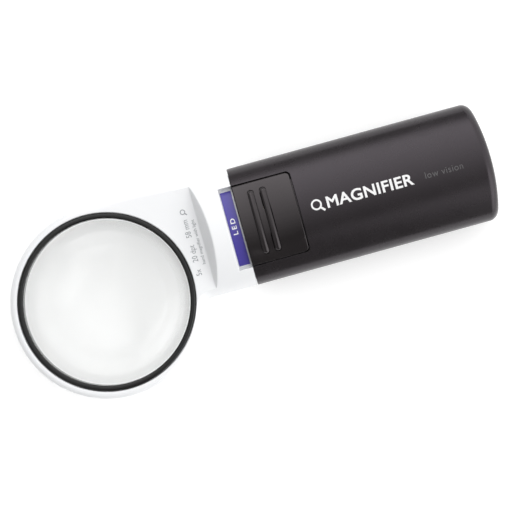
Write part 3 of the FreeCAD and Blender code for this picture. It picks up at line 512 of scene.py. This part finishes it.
def head_blank(side, recess):
    """One solid half of the head without its bore: side 1 is the top, side -1 the bottom."""
    mesh = bmesh.new()
    loft(mesh, head_side_rows(side), closed=False)
    half = HALF_WIDTH - OVAL_INSET
    stations = spaced(half, NOTCH_HALF, 8) + spaced(NOTCH_HALF, -NOTCH_HALF, 44)
    stations += spaced(-NOTCH_HALF, -half, 8) + [-half]
    heights = [min(oval_height(u), REST_DROP if side < 0 else HALF_HEIGHT) for u in stations]

    def row_at(x_of, w_of):
        return [mesh.verts.new(at_grip(x_of(n), u, side * w_of(n))) for n, u in enumerate(stations)]

    def crest_x(n):
        return STEP_FOOT + (STEP_CREST - STEP_FOOT) * (heights[n] - PLATE) / (HALF_HEIGHT - PLATE)

    strip = row_at(lambda n: FOOT_FRONT, lambda n: PLATE)
    slope = [
        row_at(lambda n: STEP_FOOT + (crest_x(n) - STEP_FOOT) * share,
               lambda n: PLATE + (heights[n] - PLATE) * share)
        for share in (0, 0.25, 0.5, 0.75, 1)
    ]
    front = COLLAR_STOPS.index(RECESS_FRONT)
    collar = [slope[-1]]
    for number, stop in enumerate(COLLAR_STOPS[1:], start=1):
        share = min(number / front, 1)
        collar.append(row_at(
            lambda n: crest_x(n) + (RECESS_FRONT - crest_x(n)) * share if number < front else stop,
            lambda n: heights[n]))
    inner = [n for n, u in enumerate(stations) if abs(u) <= NOTCH_HALF + 1e-9]

    def over_recess(row, column):
        return recess and row >= front and inner[0] <= column < inner[-1]

    net(mesh, [strip] + slope)
    net(mesh, collar, over_recess)
    creases = {}

    def crease(chain, weights):
        for pair, weight in zip(zip(chain, chain[1:]), weights):
            creases[frozenset(spot(v.co) for v in pair)] = weight

    rise = [min(max((height - PLATE) / CREASE_FADE, 0), 1) for height in heights]
    crease(slope[0], [min(pair) for pair in zip(rise, rise[1:])])
    crease(slope[-1], [min(pair) for pair in zip(rise, rise[1:])])
    if recess:
        depth = [heights[n] - RECESS_DEPTH * CROWN_R / (heights[n] + CROWN_DROP) for n in inner]
        floor = [
            [mesh.verts.new(at_grip(stop, stations[n], low)) for n, low in zip(inner, depth)]
            for stop in COLLAR_STOPS[front:]
        ]
        net(mesh, floor)
        mouth = [collar[front][n] for n in inner]
        net(mesh, [mouth, floor[0]])
        crease(mouth, [RECESS_CREASE] * len(mouth))
        crease(floor[0], [RECESS_CREASE] * len(mouth))
        for end in (0, -1):
            column = [row[inner[end]] for row in collar[front:]]
            base = [row[end] for row in floor]
            net(mesh, [column, base])
            crease(column, [RECESS_CREASE] * len(column))
            crease(base, [RECESS_CREASE] * len(column))

    bmesh.ops.remove_doubles(mesh, verts=mesh.verts, dist=2e-6)
    close = 1e-6

    def fill(test, extra=()):
        rim = [e for e in mesh.edges if e.is_boundary and all(test(v.co) for v in e.verts)]
        rim += [e for e in extra if e not in rim]
        bmesh.ops.triangle_fill(mesh, edges=rim, use_beauty=True)

    corners = [v for v in mesh.verts if abs(v.co.x - COLLAR_REAR) < close and abs(v.co.z - MID) < close]
    base_edge = mesh.edges.new(corners)
    fill(lambda p: abs(p.x - COLLAR_REAR) < close, [base_edge])
    fill(lambda p: abs(p.z - MID - side * PLATE) < close and p.x < FOOT_FRONT + close)
    fill(lambda p: abs(p.z - MID) < close, [base_edge])
    weight_layer = mesh.edges.layers.float.new("bevel_weight_edge")
    for edge in mesh.edges:
        edge[weight_layer] = creases.get(frozenset(spot(v.co) for v in edge.verts), 0.0)
    return mesh


def shade(piece):
    """Splits the shading at sharp edges and lets large faces stay flat."""
    mesh = bmesh.new()
    mesh.from_mesh(piece.data)
    for edge in mesh.edges:
        if len(edge.link_faces) == 2:
            edge.smooth = edge.calc_face_angle() < SHARP_ANGLE
    mesh.to_mesh(piece.data)
    mesh.free()
    for face in piece.data.polygons:
        face.use_smooth = True
    normals = piece.modifiers.new("normals", "WEIGHTED_NORMAL")
    normals.keep_sharp = True
    normals.weight = NORMAL_WEIGHT
    bake_modifiers(piece)


def crease_bevel(piece):
    """Rounds the edges that carry a bevel weight."""
    bevel = piece.modifiers.new("bevel", "BEVEL")
    bevel.width = CREASE_WIDTH
    bevel.segments = 4
    bevel.limit_method = "WEIGHT"
    bevel.use_clamp_overlap = True
    bake_modifiers(piece)


def lens_cutter(side):
    """The turned block that opens one half's bore, with a rounded mouth."""
    wide = BORE_R
    narrow = BORE_R if side > 0 else 29.3 * MM
    seat = 1.05 * MM
    mouth = arc(narrow + LIP, PLATE - LIP, LIP, 180, 90, 6) + [(narrow + LIP, PLATE)]
    profile = [(0.0, -seat * 2), (wide, -seat * 2), (wide, seat), (narrow, seat)]
    profile += mouth + [(narrow + LIP, PLATE + LIP), (0.0, PLATE + LIP)]
    if side > 0:
        profile.remove((narrow, seat))
    mesh = bmesh.new()
    spin(mesh, [(radius, MID + side * height) for radius, height in profile], LENS_X, 0, 192)
    return make_piece("bore_cutter", mesh)


def sink_cutter(y):
    """The block that sinks one screw, with a flared mouth."""
    radius, depth, flare = 2 * MM, 1.3 * MM, 0.15 * MM
    profile = [(0.0, -PLATE + depth), (radius, -PLATE + depth), (radius, -PLATE + flare),
               (radius + 2 * flare, -PLATE - flare), (0.0, -PLATE - flare)]
    mesh = bmesh.new()
    x = (screws_low.x + screws_high.x) / 2
    spin(mesh, [(r, MID + w) for r, w in profile], x, y, 40)
    return make_piece("sink_cutter", mesh)


def window_cutter():
    """The block that opens the light window's hole, with rounded corners and a flared mouth."""
    x, y = (window_low.x + window_high.x) / 2, (window_low.y + window_high.y) / 2
    half_x, half_y, corner, flare = 2.7 * MM, 4.1 * MM, 0.3 * MM, 0.15 * MM
    rings = []
    for grow, level in ((0, -PLATE + 2.5 * MM), (0, -PLATE + flare), (2 * flare, -PLATE - flare)):
        turn = corner + grow
        points = []
        for sign_x, sign_y, start in ((1, 1, 0), (-1, 1, 90), (-1, -1, 180), (1, -1, 270)):
            centre = (x + sign_x * (half_x - corner), y + sign_y * (half_y - corner))
            points += arc(*centre, turn, start, start + 90, 5)
            points.append((centre[0] + turn * math.cos(math.radians(start + 90)),
                           centre[1] + turn * math.sin(math.radians(start + 90))))
        rings.append([Vector((px, py, MID + level)) for px, py in points])
    mesh = bmesh.new()
    rows = loft(mesh, rings)
    mesh.faces.new(rows[0])
    mesh.faces.new(rows[-1])
    return make_piece("window_cutter", mesh)


def neck_cutter():
    """The block that hollows the neck for the light's board."""
    ring = 33.2 * MM
    half = HALF_WIDTH - 2.5 * MM
    low, high = AXIS_Y - half, AXIS_Y + half
    front = -25 * MM
    wall_y = math.sqrt(ring**2 - (front - LENS_X) ** 2)
    ends = [math.degrees(math.atan2(wall_y, front - LENS_X)), math.degrees(math.asin(low / ring))]
    plan = [(BULKHEAD, low), (BULKHEAD, high), (front, high)] + arc(LENS_X, 0, ring, *ends, 16)
    plan.append((LENS_X + ring * math.cos(math.radians(ends[1])), low))
    depth = PLATE - HEAD_WALL
    mesh = bmesh.new()
    rows = loft(mesh, [[Vector((x, y, MID + w)) for x, y in plan] for w in (-depth, depth)])
    for row in rows:
        bmesh.ops.triangle_fill(mesh, edges=chain_edges(mesh, row + row[:1]), use_beauty=True)
    return make_piece("neck_cutter", mesh)


def half_section(inset, side):
    """One half of the oval as an open chain of (u, w) points, from -u to +u."""
    section = [(u, w) for u, w in oval_section(inset) if side * w > 0.05 * MM]
    section.sort(key=lambda p: math.atan2(p[0], abs(p[1])))
    edge = HALF_WIDTH - inset
    return [(-edge, -side * SEAM), *section, (edge, -side * SEAM)]


def collar_cutter(inset, side, front, rear):
    """A block with the section of half the oval, to hollow the collar."""
    return make_piece("collar_cutter", prism_mesh(half_section(inset, side), front, rear))


def make_head():
    """The two halves of the head and the spigot."""
    cavity_front = BULKHEAD - 8 * MM
    top = make_piece("head_upper", head_blank(1, True))
    crease_bevel(top)
    subtract(top, lens_cutter(1))
    subtract(top, neck_cutter())
    subtract(top, collar_cutter(COLLAR_WALL, 1, cavity_front, BULKHEAD))
    shade(top)
    dress(top, HEAD_WHITE, "head", "head_white", "head_top_shell")

    bottom = make_piece("head_lower", head_blank(-1, False))
    crease_bevel(bottom)
    subtract(bottom, lens_cutter(-1))
    subtract(bottom, neck_cutter())
    subtract(bottom, collar_cutter(WALL, -1, cavity_front, BULKHEAD))
    subtract(bottom, collar_cutter(COLLAR_WALL, -1, BULKHEAD - 1 * MM, COLLAR_REAR + 1 * MM))
    subtract(bottom, window_cutter())
    for y in (screws_low.y + SCREW_HEAD_R, screws_high.y - SCREW_HEAD_R):
        subtract(bottom, sink_cutter(y))
    shade(bottom)
    dress(bottom, HEAD_WHITE, "head", "head_white", "head_bottom_shell")

    spigot = make_piece("head_spigot", spigot_mesh())
    soften(spigot, 0.3 * MM, angle=40)
    dress(spigot, HEAD_WHITE, "head", "head_white")


def cut_section(inset, rise):
    """The part of the oval below a level, as an open chain of (u, w) points."""
    edge = SIDE_CENTRE + math.sqrt((SIDE_R - inset) ** 2 - rise**2)
    section = [(u, w) for u, w in oval_section(inset) if w < rise - 0.05 * MM]
    section.sort(key=lambda p: math.atan2(p[0], -p[1] + rise))
    return [(-edge, rise)] + section + [(edge, rise)]


def spigot_mesh():
    """The open tray that plugs into the sleeve."""
    rise = 3 * MM
    outer = cut_section(2.2 * MM, rise)
    inner = cut_section(4.2 * MM, rise)
    loop = outer + inner[::-1]
    mesh = bmesh.new()
    stops = (COLLAR_REAR - 0.6 * MM, spigot_high.x)
    rows = loft(mesh, [[at_grip(x, u, w) for u, w in loop] for x in stops])
    for row in rows:
        chain = chain_edges(mesh, row + row[:1])
        bmesh.ops.triangle_fill(mesh, edges=chain, use_beauty=True)
    return mesh


# ---------------------------------------------------------------- lens and ring

def spin(mesh, profile, x, y, count):
    """Turns (radius, height) points about an upright axis; radius 0 points become poles."""
    rings = []
    for radius, z in profile:
        if radius < 1e-9:
            rings.append([mesh.verts.new((x, y, z))])
        else:
            rings.append([mesh.verts.new(p) for p in circle_points(x, y, radius, z, count)])
    for near, far in zip(rings, rings[1:]):
        for index in range(count):
            after = (index + 1) % count
            corners = [near[index % len(near)], near[after % len(near)],
                       far[after % len(far)], far[index % len(far)]]
            unique = [v for n, v in enumerate(corners) if v not in corners[:n]]
            mesh.faces.new(unique)
    return rings


def make_lens():
    """The biconvex lens and the ring that holds it."""
    rim = 1.0 * MM
    clear_radius = 29 * MM
    sag = (lens_high.z - lens_low.z) / 2 - rim
    bow = (clear_radius**2 + sag**2) / (2 * sag)
    steps = 72
    cap = []
    for step in range(steps + 1):
        radius = clear_radius * step / steps
        cap.append((radius, sag - (bow - math.sqrt(bow**2 - radius**2))))
    lens_radius = (lens_high.x - lens_low.x) / 2
    rounded = 0.2 * MM
    edge = [(lens_radius - rounded, rim), (lens_radius, rim - rounded),
            (lens_radius, -rim + rounded), (lens_radius - rounded, -rim)]
    profile = [(r, MID + rim + h) for r, h in cap] + [(r, MID + h) for r, h in edge]
    profile += [(r, MID - rim - h) for r, h in reversed(cap)]
    mesh = bmesh.new()
    spin(mesh, profile, LENS_X, 0, 256)
    lens = make_piece("lens_body", mesh)
    dress(lens, LENS_CLEAR, "head", "lens_clear", "lens")

    top = ring_high.z
    low = ring_low.z
    outer, inner = RING_OUTER, RING_INNER
    crest = 0.75 * MM
    profile = [(outer, low), (outer, top - crest)]
    profile += [(r, z) for r, z in arc(outer - crest, top - crest, crest, 0, 90, 8)]
    profile += [(r, z) for r, z in arc(inner + crest, top - crest, crest, 90, 180, 8)]
    profile += [(inner, top - crest), (inner, low), (outer, low)]
    mesh = bmesh.new()
    spin(mesh, profile, LENS_X, 0, 192)
    ring = make_piece("lens_ring", mesh)
    dress(ring, RING_BLACK, "head", "ring_black", "lens_retaining_ring")


# ---------------------------------------------------------------- slider

RIBS = (4.3 * MM, 8.6 * MM)
RIB_HALF_WIDTH = 1.1 * MM
RIB_HALF_LENGTH = 11.3 * MM
RIB_MOAT = 0.22 * MM
RIB_GROOVE = 0.4 * MM
RIB_RISE = 0.75 * MM
SLIDER_DISH = 0.5 * MM
RAIL_SECTION = ((12.9, 4.9), (15.4, 4.9), (15.4, 5.8), (14.2, 5.8), (14.2, 8.3), (12.9, 8.3))
RAIL_ENDS = (3 * MM, 17.4 * MM)
TAIL_FRONT = 15 * MM
TAIL_HALF = 12 * MM
TAIL_SKIN = 1 * MM


def slider_height(x, u):
    """The slider's upper surface: the crown, dished a little along its length."""
    front, rear = sleeve_low.x, NOTCH_REAR - SLIDE_GAP
    share = (x - front) / (rear - front)
    dish = SLIDER_DISH * max(math.sin(math.pi * share), 0) ** 1.2
    dish *= 1 - (u / (NOTCH_HALF - SLIDE_GAP)) ** 2
    return oval_height(u) - SLIDER_DROP - dish


def make_slider():
    """The slider: dished cap with rounded edges, two grip ribs, flanges and tail."""
    front, rear = sleeve_low.x, NOTCH_REAR - SLIDE_GAP
    half = NOTCH_HALF - SLIDE_GAP
    corner = NOTCH_CORNER - SLIDE_GAP
    edge = 0.3 * MM
    mesh = bmesh.new()

    def plan(inset):
        low, high = -half + inset, half - inset
        back, nose = rear - inset, front + inset
        turn = max(corner - inset, 0.2 * MM)
        points = [(x, low) for x in spaced(nose, back - turn, 14)]
        points += arc(back - turn, low + turn, turn, -90, 0, 8)
        points += [(back, u) for u in spaced(low + turn, high - turn, 20)]
        points += arc(back - turn, high - turn, turn, 0, 90, 8)
        points += [(x, high) for x in spaced(back - turn, nose, 14)]
        points += [(nose, u) for u in spaced(high, low, 20)]
        return points

    rows = []
    for turn in range(0, 6):
        angle = math.radians(90 * turn / 5)
        inset = edge * (1 - math.cos(angle))
        drop = edge * (1 - math.sin(angle))
        rows.append([at_grip(x, u, slider_height(x, u) - drop) for x, u in plan(inset)])
    base = [at_grip(x, u, oval_height(u, SLIDER_DROP + SLIDER_SKIN)) for x, u in plan(0)]
    rings = loft(mesh, [base] + rows)
    fill_surface(mesh, rings[-1], 0.9 * MM, slider_height)
    fill_surface(mesh, rings[0], 1.6 * MM, lambda x, u: oval_height(u, SLIDER_DROP + SLIDER_SKIN))
    cap = make_piece("slider_cap", mesh)
    subtract(cap, rib_cutter(), own_overlaps=True)
    shade(cap)
    dress(cap, SLIDER_BLACK, "slider", "slider_black", "switch_slider")

    for number, place in enumerate(RIBS):
        rib = make_piece(f"slider_rib_{number + 1}", rib_mesh(place))
        dress(rib, SLIDER_BLACK, "slider", "slider_black")

    for number, sign in enumerate((-1, 1)):
        loop = [(sign * u * MM, w * MM) for u, w in RAIL_SECTION]
        rail = make_piece(f"slider_rail_{number + 1}", prism_mesh(loop, *RAIL_ENDS))
        soften(rail, 0.12 * MM, segments=2, angle=40)
        dress(rail, SLIDER_BLACK, "slider", "slider_black")
    loop = crown_strip(CROWN_R - WALL - 0.3 * MM, TAIL_HALF, TAIL_SKIN)
    tail = make_piece("slider_tail", prism_mesh(loop, TAIL_FRONT, slider_high.x))
    soften(tail, 0.12 * MM, segments=2, angle=40)
    dress(tail, SLIDER_BLACK, "slider", "slider_black")


def crown_strip(radius, half, skin):
    """The (u, w) section of a thin strip that runs parallel to the crown."""
    angles = [math.acos(u / radius) for u in spaced(half, -half, 30) + [-half]]
    upper = [(radius * math.cos(a), radius * math.sin(a) - CROWN_DROP) for a in angles]
    inner = radius - skin
    return upper + [(inner * math.cos(a), inner * math.sin(a) - CROWN_DROP) for a in angles[::-1]]


def prism_mesh(loop, start, end):
    """A closed bar along X with a (u, w) section."""
    mesh = bmesh.new()
    rows = loft(mesh, [[at_grip(x, u, w) for u, w in loop] for x in (start, end)])
    for row in rows:
        bmesh.ops.triangle_fill(mesh, edges=chain_edges(mesh, row + row[:1]), use_beauty=True)
    return mesh


def rib_plan(place, half_width, half_length, inset=0.0):
    """The outline of a rib with round ends, as (x, u) points."""
    radius = half_width - inset
    reach = half_length - half_width
    points = [(place + radius, u) for u in spaced(-reach, reach, 24)]
    points += [(place + a, reach + b) for a, b in arc(0, 0, radius, 0, 180, 14)]
    points += [(place - radius, u) for u in spaced(reach, -reach, 24)]
    points += [(place + a, -reach + b) for a, b in arc(0, 0, radius, 180, 360, 14)]
    return points


def rib_cutter():
    """Slots a little larger than the ribs, which leave a thin groove round each."""
    mesh = bmesh.new()
    levels = (-RIB_GROOVE, 3 * RIB_GROOVE)
    for place in RIBS:
        plan = rib_plan(place, RIB_HALF_WIDTH + RIB_MOAT, RIB_HALF_LENGTH + RIB_MOAT)
        rows = loft(mesh, [
            [at_grip(x, u, slider_height(x, u) + level) for x, u in plan] for level in levels
        ])
        for row in rows:
            bmesh.ops.triangle_fill(mesh, edges=chain_edges(mesh, row + row[:1]), use_beauty=True)
    return make_piece("rib_cutter", mesh)


def rib_mesh(place):
    """A rounded ridge across the slider, with round ends, that follows its surface."""
    mesh = bmesh.new()
    plan = rib_plan(place, RIB_HALF_WIDTH, RIB_HALF_LENGTH)
    rings = [[at_grip(x, u, slider_height(x, u) - 2 * RIB_GROOVE) for x, u in plan]]
    steps = 8
    for turn in range(steps):
        angle = math.radians(90 * turn / steps)
        inset = RIB_HALF_WIDTH * (1 - math.cos(angle)) * 0.98
        height = RIB_RISE * math.sin(angle)
        plan = rib_plan(place, RIB_HALF_WIDTH, RIB_HALF_LENGTH, inset)
        rings.append([at_grip(x, u, slider_height(x, u) + height) for x, u in plan])
    plan = rib_plan(place, RIB_HALF_WIDTH, RIB_HALF_LENGTH, RIB_HALF_WIDTH * 0.985)
    rows = loft(mesh, rings + [[at_grip(x, u, slider_height(x, u) + RIB_RISE) for x, u in plan]])
    for row in (rows[0], rows[-1]):
        bmesh.ops.triangle_fill(mesh, edges=chain_edges(mesh, row + row[:1]), use_beauty=True)
    return mesh


def fill_surface(mesh, loop, spacing, height):
    """Fills a loop with a triangle net that follows height(x, u)."""
    edges = chain_edges(mesh, loop + loop[:1])
    result = bmesh.ops.triangle_fill(mesh, edges=edges, use_beauty=True)
    low = Vector((min(v.co.x for v in loop), min(v.co.y for v in loop), 0))
    high = Vector((max(v.co.x for v in loop), max(v.co.y for v in loop), 0))
    inside = [g for g in result["geom"] if isinstance(g, bmesh.types.BMFace)]
    for axis, normal in ((0, Vector((1, 0, 0))), (1, Vector((0, 1, 0)))):
        count = int((high[axis] - low[axis]) / spacing)
        for step in range(1, count):
            place = low.lerp(high, step / count)
            geometry = inside + list(dict.fromkeys(e for f in inside for e in f.edges))
            geometry += list(dict.fromkeys(v for f in inside for v in f.verts))
            cut = bmesh.ops.bisect_plane(mesh, geom=geometry, plane_co=place, plane_no=normal, dist=1e-7)
            inside = [g for g in cut["geom"] if isinstance(g, bmesh.types.BMFace)]
    for vert in {v for face in inside for v in face.verts} - set(loop):
        vert.co.z = MID + height(vert.co.x, vert.co.y - AXIS_Y)


# ---------------------------------------------------------------- label and print

LABEL_SKIN = 0.3 * MM
LABEL_R = CROWN_R - RECESS_DEPTH + LABEL_SKIN
CAP_SHARE = 0.69
INK = 0.05 * MM
INK_STEP = 0.6 * MM


def make_label():
    """The blue indicator strip in the collar's recess."""
    loop = crown_strip(LABEL_R, (label_high.y - label_low.y) / 2, LABEL_SKIN)
    label = make_piece("indicator_label", prism_mesh(loop, label_low.x, label_high.x))
    soften(label, 0.08 * MM, segments=2, angle=40)
    dress(label, LABEL_BLUE, "head", "label_blue", "led_label")


def lettering(name, text, height, width, x, u, turn, surface, material, body, slot, bold=0.0, spacing=1.0):
    """Flat printed letters of a given width that follow a surface; x and u give the word's middle."""
    curve = bpy.data.curves.new(name, "FONT")
    curve.body = text
    curve.align_x = "CENTER"
    curve.align_y = "CENTER"
    curve.size = height / CAP_SHARE
    curve.offset = bold
    curve.space_character = spacing
    curve.resolution_u = 6
    source = bpy.data.objects.new(name, curve)
    scene.collection.objects.link(source)
    bpy.context.view_layer.update()
    graph = bpy.context.evaluated_depsgraph_get()
    data = bpy.data.meshes.new_from_object(source.evaluated_get(graph))
    bpy.data.objects.remove(source)
    places = [vert.co.x for vert in data.vertices]
    stretch = width / (max(places) - min(places))
    middle = (max(places) + min(places)) / 2
    data.transform(Matrix.Scale(stretch, 4, (1, 0, 0)) @ Matrix.Translation((-middle, 0, 0)))
    print_on(name, data, x, u, turn, surface, material, body, slot)


def print_on(name, data, x, u, turn, surface, material, body, slot):
    """Lays a flat mesh on a surface as a thin film of ink."""
    mesh = bmesh.new()
    mesh.from_mesh(data)
    bpy.data.meshes.remove(data)
    spin_round = Matrix.Rotation(math.radians(turn), 4, "Z")
    place = Matrix.Translation((x, AXIS_Y + u, 0)) @ spin_round
    bmesh.ops.transform(mesh, matrix=place, verts=mesh.verts)
    low = min(v.co.y for v in mesh.verts)
    high = max(v.co.y for v in mesh.verts)
    bmesh.ops.dissolve_limit(mesh, angle_limit=0.01, verts=mesh.verts, edges=mesh.edges)
    cuts = max(int((high - low) / INK_STEP), 1)
    for step in range(1, cuts):
        place = Vector((0, low + (high - low) * step / cuts, 0))
        geometry = list(mesh.verts) + list(mesh.edges) + list(mesh.faces)
        bmesh.ops.bisect_plane(mesh, geom=geometry, plane_co=place, plane_no=Vector((0, 1, 0)), dist=1e-8)
    extruded = bmesh.ops.extrude_face_region(mesh, geom=list(mesh.faces))
    raised = {g for g in extruded["geom"] if isinstance(g, bmesh.types.BMVert)}
    for vert in mesh.verts:
        level = surface(vert.co.x, vert.co.y - AXIS_Y)
        vert.co.z = MID + level + (INK if vert in raised else -INK)
    piece = make_piece(name, mesh, merge=1e-9)
    for face in piece.data.polygons:
        face.use_smooth = False
    dress(piece, material, body, slot)


def ring_icon(name, x, u, radius, width, surface, material, body, slot):
    """A small generic mark: a lens ring with a short handle."""
    mesh = bmesh.new()
    loft(mesh, [circle_points(0, 0, size, 0, 40) for size in (radius, radius - width)])
    start, end = radius * 0.96, radius * 1.9
    side = width * 0.62
    lean = Matrix.Rotation(math.radians(-45), 4, "Z")
    corners = [(start, -side), (end, -side), (end, side), (start, side)]
    mesh.faces.new([mesh.verts.new(lean @ Vector((a, b, 0))) for a, b in corners])
    data = bpy.data.meshes.new(name)
    mesh.to_mesh(data)
    mesh.free()
    print_on(name, data, x, u, 0, surface, material, body, slot)


def make_print():
    """All the lettering, in generic words only."""
    def crown(_x, u):
        return oval_height(u)

    def plate(_x, _u):
        return PLATE

    def label(_x, u):
        return math.sqrt(LABEL_R**2 - u * u) - CROWN_DROP

    lettering("print_word", "MAGNIFIER", 3.8 * MM, 31 * MM, 44.3 * MM, 0, 0, crown, PRINT_WHITE, "grip",
              "head_white", bold=0.12 * MM, spacing=1.05)
    ring_icon("print_mark", 25.2 * MM, 0.4 * MM, 1.9 * MM, 0.6 * MM, crown, PRINT_WHITE, "grip",
              "head_white")
    lettering("print_faint_word", "low vision", 2.3 * MM, 13.5 * MM, 70.8 * MM, 0, 0, crown, PRINT_FAINT,
              "grip", "grip_black", spacing=1.1)
    lettering("print_led", "LED", 1.6 * MM, 5.8 * MM, (label_low.x + label_high.x) / 2, 0.7 * MM, 90, label,
              PRINT_WHITE, "head", "head_white", bold=0.04 * MM, spacing=1.4)
    lettering("print_power", "5x    20 dpt    58 mm", 1.9 * MM, 20 * MM, -20.3 * MM, -2.5 * MM, 90,
              plate, PRINT_GREY, "head", "component_black")
    ring_icon("print_plate_mark", -20.3 * MM, 10.4 * MM, 0.95 * MM, 0.3 * MM, plate, PRINT_GREY, "head",
              "component_black")
    lettering("print_small", "hand magnifier with light", 1.15 * MM, 16 * MM, -17.7 * MM, -1.0 * MM, 90,
              plate, PRINT_GREY, "head", "component_black")


# ---------------------------------------------------------------- CAD nodes that stay

def keep_nodes():
    """The CAD nodes that show as they are get their procedural materials."""
    kept = {
        "led_board": BOARD_GREEN,
        "led_resistor": INNER_BLACK,
        "led": LED_CLEAR,
        "light_window": WINDOW_CLEAR,
        "head_screws": STEEL,
        "switch_guide": INNER_BLACK,
        "switch_contact_front": CONTACT,
        "switch_contact_rear": CONTACT,
        "slider_bridge_contact": CONTACT,
        "head_contact_positive": CONTACT,
        "head_contact_negative": CONTACT,
        "head_wire_positive": WIRE_RED,
        "head_wire_negative": WIRE_BLACK,
        "battery_carrier": INNER_BLACK,
        "cell_left": CELL_WRAP,
        "cell_middle": CELL_WRAP,
        "cell_right": CELL_WRAP,
        "front_contact_negative": CONTACT,
        "front_contact_link": CONTACT,
        "rear_contact_link": CONTACT,
        "return_strip": CONTACT,
        "battery_springs": STEEL,
    }
    for node, material in kept.items():
        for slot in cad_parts[node].material_slots:
            slot.material = material


# ---------------------------------------------------------------- stage, light and camera

def make_stage():
    """A plain pale floor, soft light from above and a camera straight over the magnifier."""
    reach = 3.0
    mesh = bmesh.new()
    steps = 8
    grid = [[mesh.verts.new((reach * (2 * a / steps - 1), reach * (2 * b / steps - 1), 0))
             for a in range(steps + 1)] for b in range(steps + 1)]
    for near, far in zip(grid, grid[1:]):
        for index in range(steps):
            mesh.faces.new((near[index], near[index + 1], far[index + 1], far[index]))
    floor = make_piece("floor", mesh)
    white = plastic("floor_white", (0.80, 0.80, 0.80), 0.9, drift=0.0, specular=0.0)
    shader = white.node_tree.nodes["Principled BSDF"]
    shader.inputs["Emission Color"].default_value = (1, 1, 1, 1)
    shader.inputs["Emission Strength"].default_value = 0.36
    floor.data.materials.append(white)

    make_world()
    add_light("fill", (0.55, -0.6, 0.5), (-0.02, 0.0, 0.01), 0.9, 0.9, 2.4)

    turn = math.radians(-15.4)
    width = 178 * MM
    centre_x, centre_y = 0.14 * MM, 2.1 * MM
    data = bpy.data.cameras.new("camera")
    data.sensor_width = 36
    data.lens = 135
    distance = width * data.lens / data.sensor_width
    camera = bpy.data.objects.new("camera", data)
    camera.location = (centre_x, centre_y, MID + PLATE + distance)
    camera.rotation_euler = (0, 0, turn)
    data.clip_start = 0.01
    scene.collection.objects.link(camera)
    scene.camera = camera
    scene.view_settings.view_transform = "Standard"


def make_world():
    """A white room whose light changes softly with direction."""
    world = bpy.data.worlds.new("studio")
    scene.world = world
    world.use_nodes = True
    nodes, links = world.node_tree.nodes, world.node_tree.links
    background = nodes["Background"]
    background.inputs["Color"].default_value = (1, 1, 1, 1)
    place = nodes.new("ShaderNodeTexCoord")
    split = nodes.new("ShaderNodeSeparateXYZ")
    links.new(place.outputs["Generated"], split.inputs["Vector"])

    def window(source, start, end, kind="SMOOTHERSTEP"):
        """Rises from 0 to 1 as one part of the direction goes from start to end."""
        soft = nodes.new("ShaderNodeMapRange")
        soft.interpolation_type = kind
        soft.inputs["From Min"].default_value = start
        soft.inputs["From Max"].default_value = end
        links.new(split.outputs[source] if isinstance(source, str) else source, soft.inputs["Value"])
        return soft.outputs["Result"]

    def combine(operation, first, second):
        """One sum or product of two sockets or numbers."""
        math_node = nodes.new("ShaderNodeMath")
        math_node.operation = operation
        for socket, value in zip(math_node.inputs, (first, second)):
            if isinstance(value, float):
                socket.default_value = value
            else:
                links.new(value, socket)
        return math_node.outputs["Value"]

    rise = [math.sin(math.radians(angle)) for angle in OVERHEAD_FLOOR_EDGE]
    overhead = combine("MULTIPLY", window("Z", *rise), window("Y", *OVERHEAD_SIDE_EDGE, kind="LINEAR"))
    overhead = combine("ADD", combine("MULTIPLY", overhead, OVERHEAD_HIGH - OVERHEAD_LOW), OVERHEAD_LOW)
    ends = combine("MULTIPLY", window("X", *END_EDGE), END_LEVEL[1] - END_LEVEL[0])
    ends = combine("ADD", ends, END_LEVEL[0])
    past_end = nodes.new("ShaderNodeMath")
    past_end.operation = "ABSOLUTE"
    links.new(split.outputs["X"], past_end.inputs[0])
    share = window(past_end.outputs["Value"], *OVERHEAD_END_EDGE)
    difference = combine("MULTIPLY", combine("SUBTRACT", ends, overhead), share)
    links.new(combine("ADD", overhead, difference), background.inputs["Strength"])


def add_light(name, place, aim, width, height, power):
    """A soft box that faces a point."""
    data = bpy.data.lights.new(name, "AREA")
    data.shape = "RECTANGLE"
    data.size = width
    data.size_y = height
    data.energy = power
    light = bpy.data.objects.new(name, data)
    light.location = place
    direction = Vector(aim) - Vector(place)
    light.rotation_euler = direction.to_track_quat("-Z", "Y").to_euler()
    scene.collection.objects.link(light)


make_stage()
make_sleeve()
make_head()
make_lens()
make_slider()
make_label()
make_print()
keep_nodes()
